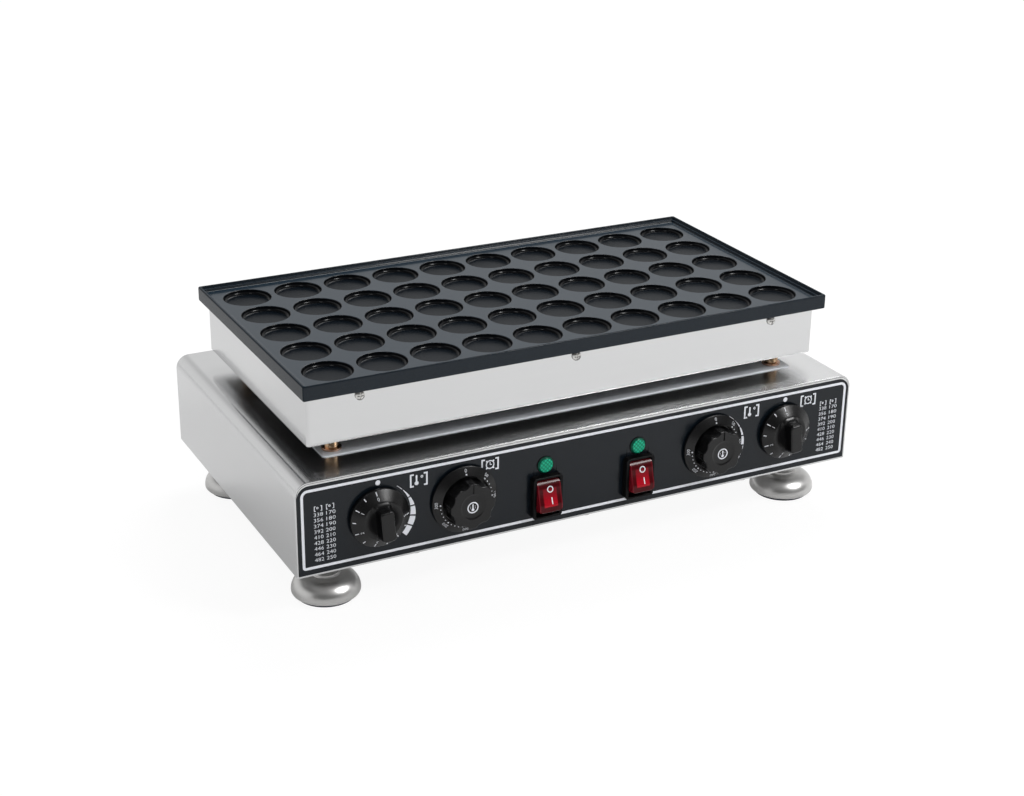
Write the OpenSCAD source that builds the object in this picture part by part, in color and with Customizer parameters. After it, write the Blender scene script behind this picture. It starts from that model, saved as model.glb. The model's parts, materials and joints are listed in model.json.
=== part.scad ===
// Mini pancake maker: a cast plate of round wells on a heated head, which stands on four posts
// above a control housing with levelling feet. Millimetres, +Z up, the front faces -Y.
// The origin lies on the table, under the middle of the whole outline.

/* [Baking plate] */
// Wells along the width
well_cols = 10; // [9:1:12]
// Wells along the depth
well_rows = 5; // [4:1:6]
// Distance between well centres
well_pitch = 50; // [48:0.5:56]
// Diameter of a well
well_d = 45; // [36:0.5:46]
// Depth of a well below the tray floor
well_depth = 5; // [3:0.5:6]
// Radius round the floor of a well
well_round = 3; // [1:0.5:3]
// From the outer pitch squares to the edge of the plate
plate_margin = 11; // [10:0.5:16]
// Height of the plate's edge
plate_h = 13.6; // [12.5:0.1:18]
// Depth of the tray inside the rim
tray_depth = 4.8; // [3:0.1:5]
// Width of the rim along its top
rim_w = 2.4; // [2:0.1:4]
// Run of the sloping inner wall of the rim
rim_slope = 6.2; // [3:0.1:7]
// Radius of the plate's corners in plan
plate_corner = 1.5; // [1:0.5:4]

/* [Heated head] */
// Overhang of the plate past the skirt at the sides
overhang_x = 6; // [4:0.5:10]
// Overhang of the plate past the skirt at front and back
overhang_y = 10; // [6:0.5:14]
// Height of the skirt
skirt_h = 46; // [42:0.5:60]
// Thickness of the skirt and its floor
head_sheet = 1; // [0.8:0.1:1.5]
// Width of the skirt's turned-in bottom flange
skirt_flange = 8; // [5:0.5:9]
// Corner radius of the skirt
skirt_corner = 3; // [2:0.5:6]
// Distance of the outer skirt screws from the middle
skirt_screw_x = 207; // [150:1:210]
// Drop of the skirt screws below the plate
skirt_screw_drop = 6.8; // [5:0.1:9]
// Thickness of the insulation on the head floor
mat_t = 14; // [8:0.5:16]
// Diameter of the heating tubes
heater_d = 8; // [6:0.5:9]
// Distance between the legs of a heating tube
heater_pitch = 50; // [40:1:52]
// Straight length of a heater leg
heater_leg = 150; // [120:1:170]
// Thickness of a heater clamp bar
bar_t = 3; // [2:0.5:4]
// Width of a heater clamp bar
bar_w = 14; // [10:1:20]
// Distance of the clamp bars from the middle, along the depth
bar_y = 45; // [30:1:60]
// Length of a heater clamp bar
bar_len = 180; // [170:1:190]
// Diameter of a temperature bulb
bulb_d = 6; // [4:0.5:7]
// Length of a temperature bulb
bulb_len = 80; // [50:1:90]

/* [Posts] */
// Clear gap between the housing and the skirt
post_gap = 15.5; // [12:0.5:30]
// Diameter of a post
post_d = 12.5; // [9:0.5:14]
// Diameter of a post's flanged washer
washer_d = 17.5; // [16:0.5:22]
// Thickness of a post's washer
washer_t = 2; // [1:0.5:3]
// Distance of a post from the skirt's side
post_inset_x = 29.5; // [24:0.5:45]
// Distance of a post from the skirt's front
post_inset_y = 21; // [17:1:30]
// Diameter of the studs on posts and plate
stud_d = 6; // [5:0.5:7]

/* [Housing] */
// Housing past the plate at each side
housing_side = 19; // [12:0.5:30]
// Housing past the plate at front and back
housing_front = 22.5; // [14:0.5:40]
// Height of the housing
housing_h = 87; // [84:0.5:110]
// Sheet thickness of the housing
sheet = 1.5; // [1:0.1:2]
// Outer radius of the bends along the top
bend_r = 12.5; // [8:0.5:16]
// Width of the flanges that hold the base plate
base_flange = 14; // [12:0.5:20]
// Inset of the base plate from the housing's edge
base_inset = 3; // [2:0.5:6]
// Distance of the outer base screws from the middle, along the width
base_screw_x = 168; // [120:1:180]
// Distance of the outer base screws from the middle, along the depth
base_screw_y = 114; // [90:1:120]
// Clearance between the panels and the cover
panel_fit = 0.2; // [0.1:0.05:0.5]
// Inset of the heat shield from the skirt's sides
shield_in_x = 16.5; // [8:0.5:18]
// Inset of the heat shield from the skirt's front and back
shield_in_y = 7.5; // [2:0.5:8]
// Thickness of the heat shield
shield_t = 1; // [0.6:0.1:1.5]

/* [Front panel] */
// Thickness of the printed overlay
overlay_t = 0.6; // [0.3:0.1:1]
// Border of bare steel beside and under the overlay
overlay_edge = 1.8; // [1:0.1:4]
// Border of bare steel above the overlay
overlay_top = 3.4; // [2:0.1:6]
// Corner radius of the overlay at the top
overlay_r = 11; // [4:0.5:14]
// Height of the knobs' middles above the housing's bottom edge
control_z = 43.5; // [40:0.5:46]
// Distance of the timers from the middle
timer_x = 206; // [196:1:212]
// Distance of the thermostats from the middle
thermostat_x = 126.5; // [120:0.5:134]
// Distance of the switches and lamps from the middle
switch_x = 47; // [36:1:58]
// Height of the switches' middles above the housing's bottom edge
switch_z = 30; // [27:0.5:30.5]
// Height of the lamps' middles above the housing's bottom edge
lamp_z = 59; // [59:0.5:70]

/* [Controls] */
// Diameter of a timer dial
timer_dial_d = 54; // [50:1:60]
// Thickness of the timer dial's rim
timer_edge = 3.5; // [2:0.5:5]
// Diameter of the timer knob's hub
timer_hub_d = 35; // [32:1:40]
// Height of the timer knob's conical skirt
timer_cone_h = 10; // [7:0.5:12]
// Full height of a timer knob
timer_knob_h = 22; // [18:0.5:30]
// Width of the timer knob's grip bar
timer_bar_w = 12; // [9:0.5:16]
// Length of the timer knob's grip bar
timer_bar_len = 27; // [24:0.5:31]
// Diameter of a thermostat dial ring
thermostat_dial_d = 62; // [56:1:66]
// Height of the thermostat dial ring
thermostat_ring_h = 6; // [4:0.5:8]
// Diameter of the thermostat knob's grip
grip_d = 42; // [38:0.5:46]
// Full height of a thermostat knob
thermostat_knob_h = 19; // [16:0.5:24]
// Flutes round a thermostat knob's grip
flutes = 8; // [6:1:12]
// Diameter of the control spindles
spindle_d = 6; // [5:0.5:7]
// Radial clearance of spindles and pivots in their bearings
running = 0.05; // [0.02:0.01:0.08]
// Gap between a knob and the overlay
knob_gap = 1; // [0.5:0.1:1.5]
// Width of a switch bezel
bezel_w = 29; // [28.5:0.5:34]
// Height of a switch bezel
bezel_h = 40; // [39.5:0.5:41]
// Depth of a switch bezel in front of the panel
bezel_t = 7; // [6.5:0.5:7.5]
// Width of a rocker paddle
rocker_w = 22.5; // [18:0.5:22.5]
// Height of a rocker paddle
rocker_h = 30; // [26:0.5:31]
// Tilt of a rocker either way from level
rocker_tilt = 15; // [8:0.5:16]
// Diameter of a lamp's flange
lamp_d = 16.5; // [15.5:0.5:17]
// Diameter of a lamp's lens
lens_d = 15.5; // [13:0.5:15.5]

/* [Feet] */
// Height of the base plate above the table
foot_h = 42; // [36:0.5:55]
// Largest diameter of a foot
foot_d = 61.2; // [54:0.2:66]
// Radius of a foot's upper shoulder
foot_shoulder = 14; // [10:0.5:16]
// Radius of a foot's lower lip
foot_lip = 5; // [3:0.5:6]
// Diameter of a foot's stem
stem_d = 16; // [14:0.5:20]
// Diameter of a foot's threaded rod
rod_d = 10; // [8:0.5:12]
// Thickness of a foot pad
pad_t = 1.6; // [1:0.1:3]
// Distance of a foot from the housing's side
foot_inset_x = 41; // [36:1:60]
// Distance of a foot from the housing's front
foot_inset_y = 41.5; // [36:0.5:60]
// Travel of a levelling foot
foot_travel = 10; // [4:1:14]

/* [Cable gland] */
// Bore for the supply cord
gland_bore = 10; // [7:0.5:11]
// Diameter of the gland's thread
gland_thread = 16; // [15:0.5:20]
// Reach of the gland behind the back panel
gland_reach = 24; // [18:1:30]
// Distance of the gland from the middle
gland_x = 180; // [120:1:200]
// Height of the gland above the housing's bottom edge
gland_z = 36; // [28:1:50]

/* [Hidden] */
$fn = 64;
// Overshoot of a cut past the face it opens
cut = 1;
// Gap left under a part that only bears lightly
bear = 0.1;
// Gap between flat faces of pieces that move apart
seat = 0.2;
// Clearance of a bolt or stud in its hole
bolt_fit = 0.3;
// Clearance of a screw in the thread it bites
thread_fit = 0.1;
// Clearance of a knob's socket round its spindle
press_fit = 0.02;
// Thread left past a nut
thread_over = 2;
// Corner radius of flat sheet pieces
sheet_corner = 3;
// Gap between the ends of neighbouring flanges
flange_gap = 2;
// Gap round the pieces that pass through the insulation
mat_gap = 1;

// Plan sizes
plate_w = well_cols * well_pitch + 2 * plate_margin;
plate_d = well_rows * well_pitch + 2 * plate_margin;
skirt_w = plate_w - 2 * overhang_x;
skirt_d = plate_d - 2 * overhang_y;
shield_w = skirt_w - 2 * shield_in_x;
shield_d = skirt_d - 2 * shield_in_y;
housing_w = plate_w + 2 * housing_side;
housing_d = plate_d + 2 * housing_front;
base_w = housing_w - 2 * base_inset;
base_d = housing_d - 2 * base_inset;

// Heights above the table
base_z = foot_h;
housing_z = base_z + sheet;
housing_top = housing_z + housing_h;
shield_top = housing_top + shield_t;
skirt_z = housing_top + post_gap;
head_floor_z = skirt_z + head_sheet;
head_inside = head_floor_z + head_sheet;
plate_z = skirt_z + skirt_h;

// Frame: the outline runs from the knobs to the gland
front_reach = overlay_t + knob_gap + timer_knob_h;
origin_y = (front_reach - gland_reach) / 2;
front_y = -housing_d / 2;
back_y = housing_d / 2;
face_y = front_y - overlay_t;
inner_front_y = front_y + sheet;
inner_back_y = back_y - sheet;

// Posts, feet and heating zones
post_x = skirt_w / 2 - post_inset_x;
post_y = skirt_d / 2 - post_inset_y;
foot_x = housing_w / 2 - foot_inset_x;
foot_y = housing_d / 2 - foot_inset_y;
zone_x = well_cols * well_pitch / 4;
bar_top = plate_z - heater_d - 2 * bear;

// Nuts: width over the corners and height for a thread
function nut_d(thread) = 2 * thread;
function nut_h(thread) = 0.8 * thread;

// Lead sleeve through the housing top and the head floor
sleeve_y = 62;
sleeve_r = 14;
sleeve_wall = 2;
sleeve_flange = 4;
sleeve_below = 8;
sleeve_above = 6;

// Screws
screw_d = 4;
screw_head_d = 8.4;
screw_head_h = 2.6;
screw_len = 9;
screw_slot = 1;
screw_slot_deep = 1.2;
lug_w = 16;
lug_d = 10;
lug_h = 14;

// Capillary tubes
capillary_d = 2;
capillary_x = 5;
capillary_under = 20;
capillary_drop = 18;
capillary_high = plate_z - capillary_under;
capillary_low = housing_top - capillary_drop;

// Control bodies behind the panel
timer_body = 42;
timer_depth = 34;
thermostat_body_w = 46;
thermostat_body_h = 36;
thermostat_depth = 34;
bush_r = 5;
bush_reach = 5;
bush_nut_h = 2.4;
spindle_in = 16;
knob_floor = 6;
knob_hollow_r = 11;
knob_hollow_h = bush_reach + 1 - knob_gap;
blade = [6, 10, 0.8];

// Switches: opening, pivot and paddle section
paddle_gap = 0.3;
bezel_lip = 1.15;
bezel_lip_h = 1.5;
bezel_corner = 3;
switch_body_w = bezel_w - 2 * bezel_lip;
switch_body_h = bezel_h - 2 * bezel_lip_h;
switch_depth = 24;
switch_corner = 1;
pivot_drop = 8;
pivot_r = 1.5;
pivot_pin = 1.2;
pivot_end = 0.2;
paddle_mid = 10.2;
paddle_end = 12.4;
paddle_low = 2;
paddle_draft = 0.6;
paddle_root = 3;
pivot_well = 6;
opening_w = rocker_w + 2 * paddle_gap;
corner_r = norm([rocker_h / 2, paddle_end]);
corner_a = atan2(paddle_end, rocker_h / 2);
opening_h = 2 * corner_r * cos(corner_a - rocker_tilt) + 2 * paddle_gap;
pocket_h = rocker_h + 2;

// Lamps
lamp_flange_t = 0.6;
lamp_body_r = 6;
lamp_len = 24;
lens_top_d = 12;
lens_reach = 2.2;
lens_plug_r = 5.4;
lens_seat = 3;
lamp_blade_x = 3;
lamp_blade_w = 2.4;
lamp_nut_d = 20;
lamp_nut_h = 3;

// Feet: profile heights
foot_r = foot_d / 2;
lip_z = pad_t + foot_lip;
crown_z = lip_z + foot_shoulder;
crown_r = foot_r - foot_shoulder;
pad_over = 0.4;
pad_r = foot_r - foot_lip + pad_over;
collar_over = 4.6;
collar_r = stem_d / 2 + collar_over;
collar_h = 3;
foot_hollow_r = 12;
rod_in = nut_h(rod_d) + foot_travel + thread_over;

// Cable gland: sizes over its thread
gland_hex_over = 10;
gland_hex_h = 6;
gland_nut_over = 8;
gland_dome_over = 5;
gland_dome_draft = 4;
gland_in = 3;

// Terminal block
block_w = 60;
block_d = 26;
block_h = 24;
block_ways = 4;

// Shared shapes

// Rectangle with round corners, centred
module rounded_rect(w, d, r) {
  square([w - 2 * r, d], center = true);
  square([w, d - 2 * r], center = true);
  for (x = [-1, 1], y = [-1, 1])
    translate([x * (w / 2 - r), y * (d / 2 - r)]) circle(r);
}

module rounded_box(w, d, h, r) {
  linear_extrude(h) rounded_rect(w, d, r);
}

// Rectangle on the baseline with its two top corners round
module arch(w, h, r) {
  translate([-w / 2, 0]) square([w, h - r]);
  translate([r - w / 2, 0]) square([w - 2 * r, h]);
  for (x = [-1, 1]) translate([x * (w / 2 - r), h - r]) circle(r);
}

module tube(r, wall, h) {
  difference() {
    cylinder(r = r, h = h);
    translate([0, 0, -cut]) cylinder(r = r - wall, h = h + 2 * cut);
  }
}

module hex_nut(thread, h, across = 0) {
  difference() {
    cylinder(d = across > 0 ? across : nut_d(thread), h = h, $fn = 6);
    translate([0, 0, -cut]) cylinder(d = thread + 2 * thread_fit, h = h + 2 * cut);
  }
}

// Pan-head screw, head up, its shank going down from the face at z = 0
module pan_screw(len) {
  difference() {
    union() {
      intersection() {
        cylinder(d = screw_head_d, h = screw_head_h);
        translate([0, 0, screw_head_h - screw_head_d]) sphere(screw_head_d);
      }
      translate([0, 0, -len]) cylinder(d = screw_d, h = len + cut);
    }
    for (a = [0, 90])
      rotate(a) translate([-screw_head_d / 3, -screw_slot / 2, screw_head_h - screw_slot_deep])
        cube([2 * screw_head_d / 3, screw_slot, screw_head_h]);
  }
}

module at_posts() {
  for (x = [-1, 1], y = [-1, 1]) translate([x * post_x, y * post_y, 0]) children();
}

module at_feet() {
  for (x = [-1, 1], y = [-1, 1]) translate([x * foot_x, y * foot_y, 0]) children();
}

// A place on the front panel, turned so that z points out of the panel and y points up
module on_panel(x, z, y = front_y) {
  translate([x, y, housing_z + z]) rotate([90, 0, 0]) children();
}

module at_skirt_screws() {
  for (x = [-1, 0, 1], a = [0, 180])
    rotate(a) translate([x * skirt_screw_x, -skirt_d / 2, plate_z - skirt_screw_drop])
      rotate([90, 0, 0]) children();
}

module at_clamps() {
  for (side = [-1, 1], x = [-1, 1], y = [-1, 1])
    translate([side * zone_x + x * heater_pitch, y * bar_y, 0]) children();
}

// Places of the screws that join the base plate to the flanges above it
module at_base_screws() {
  for (s = [-1, 1]) {
    for (i = [-1, 0, 1]) {
      translate([s * (housing_w / 2 - sheet - base_flange / 2), i * base_screw_y, base_z]) children();
      translate([i * base_screw_x, s * (housing_d / 2 - sheet - base_flange / 2), base_z]) children();
    }
  }
}

// Head

module well_cutter() {
  r = well_d / 2;
  rotate_extrude() {
    square([r - well_round, well_depth + cut]);
    translate([0, well_round]) square([r, well_depth + cut - well_round]);
    intersection() {
      translate([r - well_round, well_round]) circle(well_round);
      square(r);
    }
  }
}

module tray_cutter() {
  flat = 0.02;
  low = rim_w + rim_slope;
  run = rim_slope / tray_depth * cut;
  hull() {
    translate([0, 0, -tray_depth])
      linear_extrude(flat) square([plate_w - 2 * low, plate_d - 2 * low], center = true);
    translate([0, 0, cut])
      linear_extrude(flat)
        square([plate_w - 2 * (rim_w - run), plate_d - 2 * (rim_w - run)], center = true);
  }
}

module baking_plate() {
  stud_len = heater_d + 2 * bear + bar_t + nut_h(stud_d) + thread_over;
  floor_z = plate_z + plate_h - tray_depth;
  color([0.2, 0.21, 0.22]) {
    difference() {
      union() {
        translate([0, 0, plate_z]) rounded_box(plate_w, plate_d, plate_h, plate_corner);
        at_clamps() translate([0, 0, plate_z - stud_len]) cylinder(d = stud_d, h = stud_len + cut);
        for (x = [-1, 0, 1], a = [0, 180])
          rotate(a) translate([x * skirt_screw_x - lug_w / 2, head_sheet - skirt_d / 2, plate_z - lug_h])
            cube([lug_w, lug_d, lug_h + cut]);
      }
      translate([0, 0, plate_z + plate_h]) tray_cutter();
      for (i = [0 : well_cols - 1], j = [0 : well_rows - 1])
        translate([(i - (well_cols - 1) / 2) * well_pitch, (j - (well_rows - 1) / 2) * well_pitch,
          floor_z - well_depth]) well_cutter();
      at_skirt_screws() translate([0, 0, -screw_len - cut])
        cylinder(d = screw_d + 2 * thread_fit, h = screw_len + cut);
    }
  }
}

module plate_skirt() {
  in_w = skirt_w - 2 * head_sheet;
  in_d = skirt_d - 2 * head_sheet;
  color([0.8, 0.8, 0.79]) difference() {
    translate([0, 0, skirt_z]) rounded_box(skirt_w, skirt_d, skirt_h, skirt_corner);
    translate([0, 0, head_floor_z])
      rounded_box(in_w, in_d, skirt_h, skirt_corner - head_sheet);
    translate([0, 0, skirt_z - cut])
      linear_extrude(head_sheet + 2 * cut)
        square([in_w - 2 * skirt_flange, in_d - 2 * skirt_flange], center = true);
    at_skirt_screws() translate([0, 0, -head_sheet - cut])
      cylinder(d = screw_d + 2 * bolt_fit, h = head_sheet + 2 * cut);
  }
}

module skirt_screws() {
  color([0.75, 0.75, 0.75]) at_skirt_screws() pan_screw(screw_len);
}

module head_floor() {
  color([0.7, 0.7, 0.7]) difference() {
    translate([0, 0, head_floor_z])
      rounded_box(skirt_w - 2 * head_sheet - 2 * panel_fit, skirt_d - 2 * head_sheet - 2 * panel_fit,
        head_sheet, skirt_corner - head_sheet);
    at_posts() translate([0, 0, head_floor_z - cut])
      cylinder(d = stud_d + 2 * bolt_fit, h = head_sheet + 2 * cut);
    translate([0, sleeve_y, head_floor_z - cut]) cylinder(r = sleeve_r + bolt_fit, h = head_sheet + 2 * cut);
  }
}

module insulation_mat() {
  edge = 3;
  color([0.88, 0.85, 0.74]) difference() {
    translate([0, 0, head_inside])
      rounded_box(skirt_w - 2 * head_sheet - 2 * edge, skirt_d - 2 * head_sheet - 2 * edge, mat_t, edge);
    at_posts() translate([0, 0, head_inside - cut])
      cylinder(d = nut_d(stud_d) + 2 * mat_gap, h = mat_t + 2 * cut);
    translate([0, sleeve_y, head_inside - cut]) cylinder(r = sleeve_r + mat_gap, h = mat_t + 2 * cut);
  }
}

// Heating tube: four legs joined by three round bends, with cold pins at the back
module heater(side) {
  r = heater_d / 2;
  pin_r = 2;
  pin_len = 10;
  tail = 12;
  color([0.45, 0.4, 0.36])
    translate([side * zone_x, 0, plate_z - bear - r]) {
      for (i = [0 : 3])
        translate([(i - 1.5) * heater_pitch, -heater_leg / 2, 0])
          rotate([-90, 0, 0]) cylinder(r = r, h = heater_leg);
      for (i = [0 : 2]) {
        end = i == 1 ? 1 : -1;
        translate([(i - 1) * heater_pitch, end * heater_leg / 2, 0]) rotate(end > 0 ? 0 : 180)
          rotate_extrude(angle = 180) translate([heater_pitch / 2, 0]) circle(r);
      }
      for (x = [-1, 1]) translate([x * 1.5 * heater_pitch, heater_leg / 2, 0]) rotate([-90, 0, 0]) {
        cylinder(r = r, h = tail);
        cylinder(r = pin_r, h = tail + pin_len);
      }
    }
}

module clamp_bars() {
  color([0.6, 0.6, 0.6]) difference() {
    for (side = [-1, 1], y = [-1, 1])
      translate([side * zone_x, y * bar_y, bar_top - bar_t])
        rounded_box(bar_len, bar_w, bar_t, sheet_corner);
    at_clamps() translate([0, 0, bar_top - bar_t - cut])
      cylinder(d = stud_d + 2 * bolt_fit, h = bar_t + 2 * cut);
  }
}

module clamp_nuts() {
  h = nut_h(stud_d);
  color([0.7, 0.7, 0.7]) at_clamps() translate([0, 0, bar_top - bar_t - h]) hex_nut(stud_d, h);
}

// Temperature bulb with the capillary that runs through the sleeve to its thermostat
module sensor(side) {
  bulb_z = plate_z - bear - bulb_d / 2;
  turn_y = sleeve_y;
  end_y = inner_front_y + thermostat_depth / 2;
  end_z = housing_z + control_z + thermostat_body_h / 2 + bear;
  route = [
    [zone_x, bulb_len / 2 - cut, bulb_z], [zone_x, turn_y, bulb_z], [zone_x, turn_y, capillary_high],
    [capillary_x, turn_y, capillary_high], [capillary_x, turn_y, capillary_low],
    [thermostat_x, turn_y, capillary_low], [thermostat_x, end_y, capillary_low],
    [thermostat_x, end_y, end_z]];
  joint_r = capillary_d / 2 + 0.2;
  color([0.72, 0.45, 0.3]) {
    translate([side * zone_x, -bulb_len / 2, bulb_z]) rotate([-90, 0, 0]) cylinder(d = bulb_d, h = bulb_len);
    for (i = [0 : len(route) - 2]) {
      a = [side * route[i].x, route[i].y, route[i].z];
      b = [side * route[i + 1].x, route[i + 1].y, route[i + 1].z];
      along = b - a;
      turn = along.x != 0 ? [0, sign(along.x) * 90, 0] : along.y != 0 ? [-sign(along.y) * 90, 0, 0]
        : along.z < 0 ? [180, 0, 0] : [0, 0, 0];
      translate(a) rotate(turn) cylinder(d = capillary_d, h = norm(along));
      if (i > 0) translate(a) sphere(joint_r);
    }
  }
}

module wire_sleeve() {
  below = housing_top - sheet - sleeve_below;
  color([0.25, 0.25, 0.26]) translate([0, sleeve_y, 0]) {
    translate([0, 0, below]) tube(sleeve_r, sleeve_wall, head_inside + sleeve_above - below);
    translate([0, 0, shield_top]) tube(sleeve_r + sleeve_flange, sleeve_flange + sleeve_wall, sleeve_wall);
  }
}

// Post with a stud at each end
module post(sx, sy) {
  low = housing_top - sheet - nut_h(stud_d) - thread_over;
  high = head_inside + nut_h(stud_d) + thread_over;
  foot = shield_top + washer_t;
  color([0.71, 0.5, 0.28]) translate([sx * post_x, sy * post_y, 0]) {
    translate([0, 0, low]) cylinder(d = stud_d, h = high - low);
    translate([0, 0, foot]) cylinder(d = post_d, h = head_floor_z - foot);
  }
}

module post_washers() {
  color([0.55, 0.33, 0.2]) at_posts() difference() {
    translate([0, 0, shield_top]) cylinder(d = washer_d, h = washer_t);
    translate([0, 0, shield_top - cut]) cylinder(d = stud_d + 2 * bolt_fit, h = washer_t + 2 * cut);
  }
}

module post_nuts() {
  h = nut_h(stud_d);
  color([0.7, 0.7, 0.7]) at_posts() {
    translate([0, 0, head_inside]) hex_nut(stud_d, h);
    translate([0, 0, housing_top - sheet - h]) hex_nut(stud_d, h);
  }
}

// Housing

module heat_shield() {
  color([0.8, 0.8, 0.8]) difference() {
    translate([0, 0, housing_top]) rounded_box(shield_w, shield_d, shield_t, sheet_corner);
    at_posts() translate([0, 0, housing_top - cut])
      cylinder(d = stud_d + 2 * bolt_fit, h = shield_t + 2 * cut);
    translate([0, sleeve_y, housing_top - cut]) cylinder(r = sleeve_r + bolt_fit, h = shield_t + 2 * cut);
  }
}

module housing_cover() {
  flange_len = housing_d - 2 * sheet - flange_gap;
  color([0.78, 0.78, 0.77]) difference() {
    union() {
      translate([0, 0, housing_z]) rotate([90, 0, 0]) linear_extrude(housing_d, center = true) difference() {
        arch(housing_w, housing_h, bend_r);
        translate([0, -cut]) arch(housing_w - 2 * sheet, housing_h - sheet + cut, bend_r - sheet);
      }
      for (s = [-1, 1])
        translate([s * (housing_w / 2 - base_flange / 2 - sheet / 2) - base_flange / 2 - sheet / 2,
          -flange_len / 2, housing_z])
          cube([base_flange + sheet, flange_len, sheet]);
    }
    at_posts() translate([0, 0, housing_top - sheet - cut])
      cylinder(d = stud_d + 2 * bolt_fit, h = sheet + 2 * cut);
    translate([0, sleeve_y, housing_top - sheet - cut])
      cylinder(r = sleeve_r + bolt_fit, h = sheet + 2 * cut);
    at_base_screws() cylinder(d = screw_d + 2 * thread_fit, h = 2 * sheet + cut);
  }
}

// Panel that closes one end of the cover, with a bottom flange towards the inside
module end_panel(inward) {
  w = housing_w - 2 * sheet - 2 * panel_fit;
  h = housing_h - sheet - panel_fit;
  flange_w = housing_w - 2 * sheet - 2 * base_flange - 2 * flange_gap;
  rotate([90, 0, 0]) linear_extrude(sheet) arch(w, h, bend_r - sheet - panel_fit);
  translate([-flange_w / 2, inward > 0 ? -cut : -sheet - base_flange, 0])
    cube([flange_w, base_flange + cut, sheet]);
}

module front_holes(extra) {
  for (s = [-1, 1]) {
    on_panel(s * timer_x, control_z) translate([0, 0, -sheet - cut])
      cylinder(r = bush_r + bolt_fit, h = sheet + extra + 2 * cut);
    on_panel(s * thermostat_x, control_z) translate([0, 0, -sheet - cut])
      cylinder(r = bush_r + bolt_fit, h = sheet + extra + 2 * cut);
    on_panel(s * switch_x, switch_z) translate([0, 0, -sheet - cut])
      linear_extrude(sheet + extra + 2 * cut)
        square([switch_body_w + 2 * bolt_fit, switch_body_h + 2 * bolt_fit], center = true);
    on_panel(s * switch_x, lamp_z) translate([0, 0, -sheet - cut])
      cylinder(r = lamp_body_r + bolt_fit, h = sheet + extra + 2 * cut);
  }
}

module front_panel() {
  color([0.75, 0.75, 0.75]) difference() {
    translate([0, inner_front_y, housing_z]) end_panel(1);
    front_holes(0);
    at_base_screws() cylinder(d = screw_d + 2 * thread_fit, h = 2 * sheet + cut);
  }
}

module control_overlay() {
  color([0.1, 0.11, 0.12]) difference() {
    translate([0, front_y, housing_z + overlay_edge]) rotate([90, 0, 0]) linear_extrude(overlay_t)
      arch(housing_w - 2 * overlay_edge, housing_h - overlay_edge - overlay_top, overlay_r);
    front_holes(overlay_t);
  }
}

module back_panel() {
  slot_w = 4;
  slot_h = 36;
  slots = 9;
  slot_gap = 12;
  color([0.75, 0.75, 0.75]) difference() {
    translate([0, back_y, housing_z]) end_panel(-1);
    for (i = [0 : slots - 1])
      translate([(i - (slots - 1) / 2) * slot_gap, back_y + cut, housing_z + housing_h / 2])
        rotate([90, 0, 0]) rounded_box(slot_w, slot_h, sheet + 2 * cut, slot_w / 2 - 0.01);
    translate([-gland_x, back_y + cut, housing_z + gland_z]) rotate([90, 0, 0])
      cylinder(d = gland_thread + 2 * bolt_fit, h = sheet + 2 * cut);
    at_base_screws() cylinder(d = screw_d + 2 * thread_fit, h = 2 * sheet + cut);
  }
}

module base_plate() {
  vent = 5;
  vent_cols = 7;
  vent_rows = 3;
  vent_gap = 24;
  color([0.7, 0.7, 0.7]) difference() {
    translate([0, 0, base_z]) rounded_box(base_w, base_d, sheet, sheet_corner);
    at_feet() translate([0, 0, base_z - cut]) cylinder(d = rod_d + 2 * bolt_fit, h = sheet + 2 * cut);
    at_base_screws() translate([0, 0, -cut]) cylinder(d = screw_d + 2 * bolt_fit, h = sheet + 2 * cut);
    for (i = [0 : vent_cols - 1], j = [0 : vent_rows - 1])
      translate([(i - (vent_cols - 1) / 2) * vent_gap, (j - (vent_rows - 1) / 2) * vent_gap, base_z - cut])
        cylinder(d = vent, h = sheet + 2 * cut);
  }
}

module base_screws() {
  color([0.7, 0.7, 0.7]) at_base_screws() rotate([180, 0, 0]) pan_screw(2 * sheet + thread_over);
}

module cable_gland() {
  dome_d = gland_thread + gland_dome_over;
  inside = sheet + nut_h(gland_thread) / 2 + gland_in;
  color([0.12, 0.12, 0.12])
    translate([-gland_x, back_y, housing_z + gland_z]) rotate([-90, 0, 0]) difference() {
      union() {
        translate([0, 0, -inside]) cylinder(d = gland_thread, h = inside + cut);
        cylinder(d = gland_thread + gland_hex_over, h = gland_hex_h, $fn = 6);
        translate([0, 0, gland_hex_h])
          cylinder(d1 = dome_d, d2 = dome_d - gland_dome_draft, h = gland_reach - gland_hex_h);
      }
      translate([0, 0, -inside - cut]) cylinder(d = gland_bore, h = inside + gland_reach + 2 * cut);
    }
}

module gland_nut() {
  h = nut_h(gland_thread) / 2;
  color([0.12, 0.12, 0.12]) translate([-gland_x, inner_back_y, housing_z + gland_z]) rotate([90, 0, 0])
    difference() {
      cylinder(d = gland_thread + gland_nut_over, h = h, $fn = 6);
      translate([0, 0, -cut]) cylinder(d = gland_thread + 2 * thread_fit, h = h + 2 * cut);
    }
}

module terminal_block() {
  way_d = 5;
  way_gap = block_w / block_ways;
  color([0.9, 0.88, 0.82])
    translate([-gland_x + block_w, inner_back_y - base_flange - block_d, base_z + sheet]) difference() {
      translate([-block_w / 2, -block_d / 2, 0]) cube([block_w, block_d, block_h]);
      for (i = [0 : block_ways - 1])
        translate([(i - (block_ways - 1) / 2) * way_gap, 0, block_h / 2]) cylinder(d = way_d, h = block_h);
    }
}

// Controls

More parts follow.
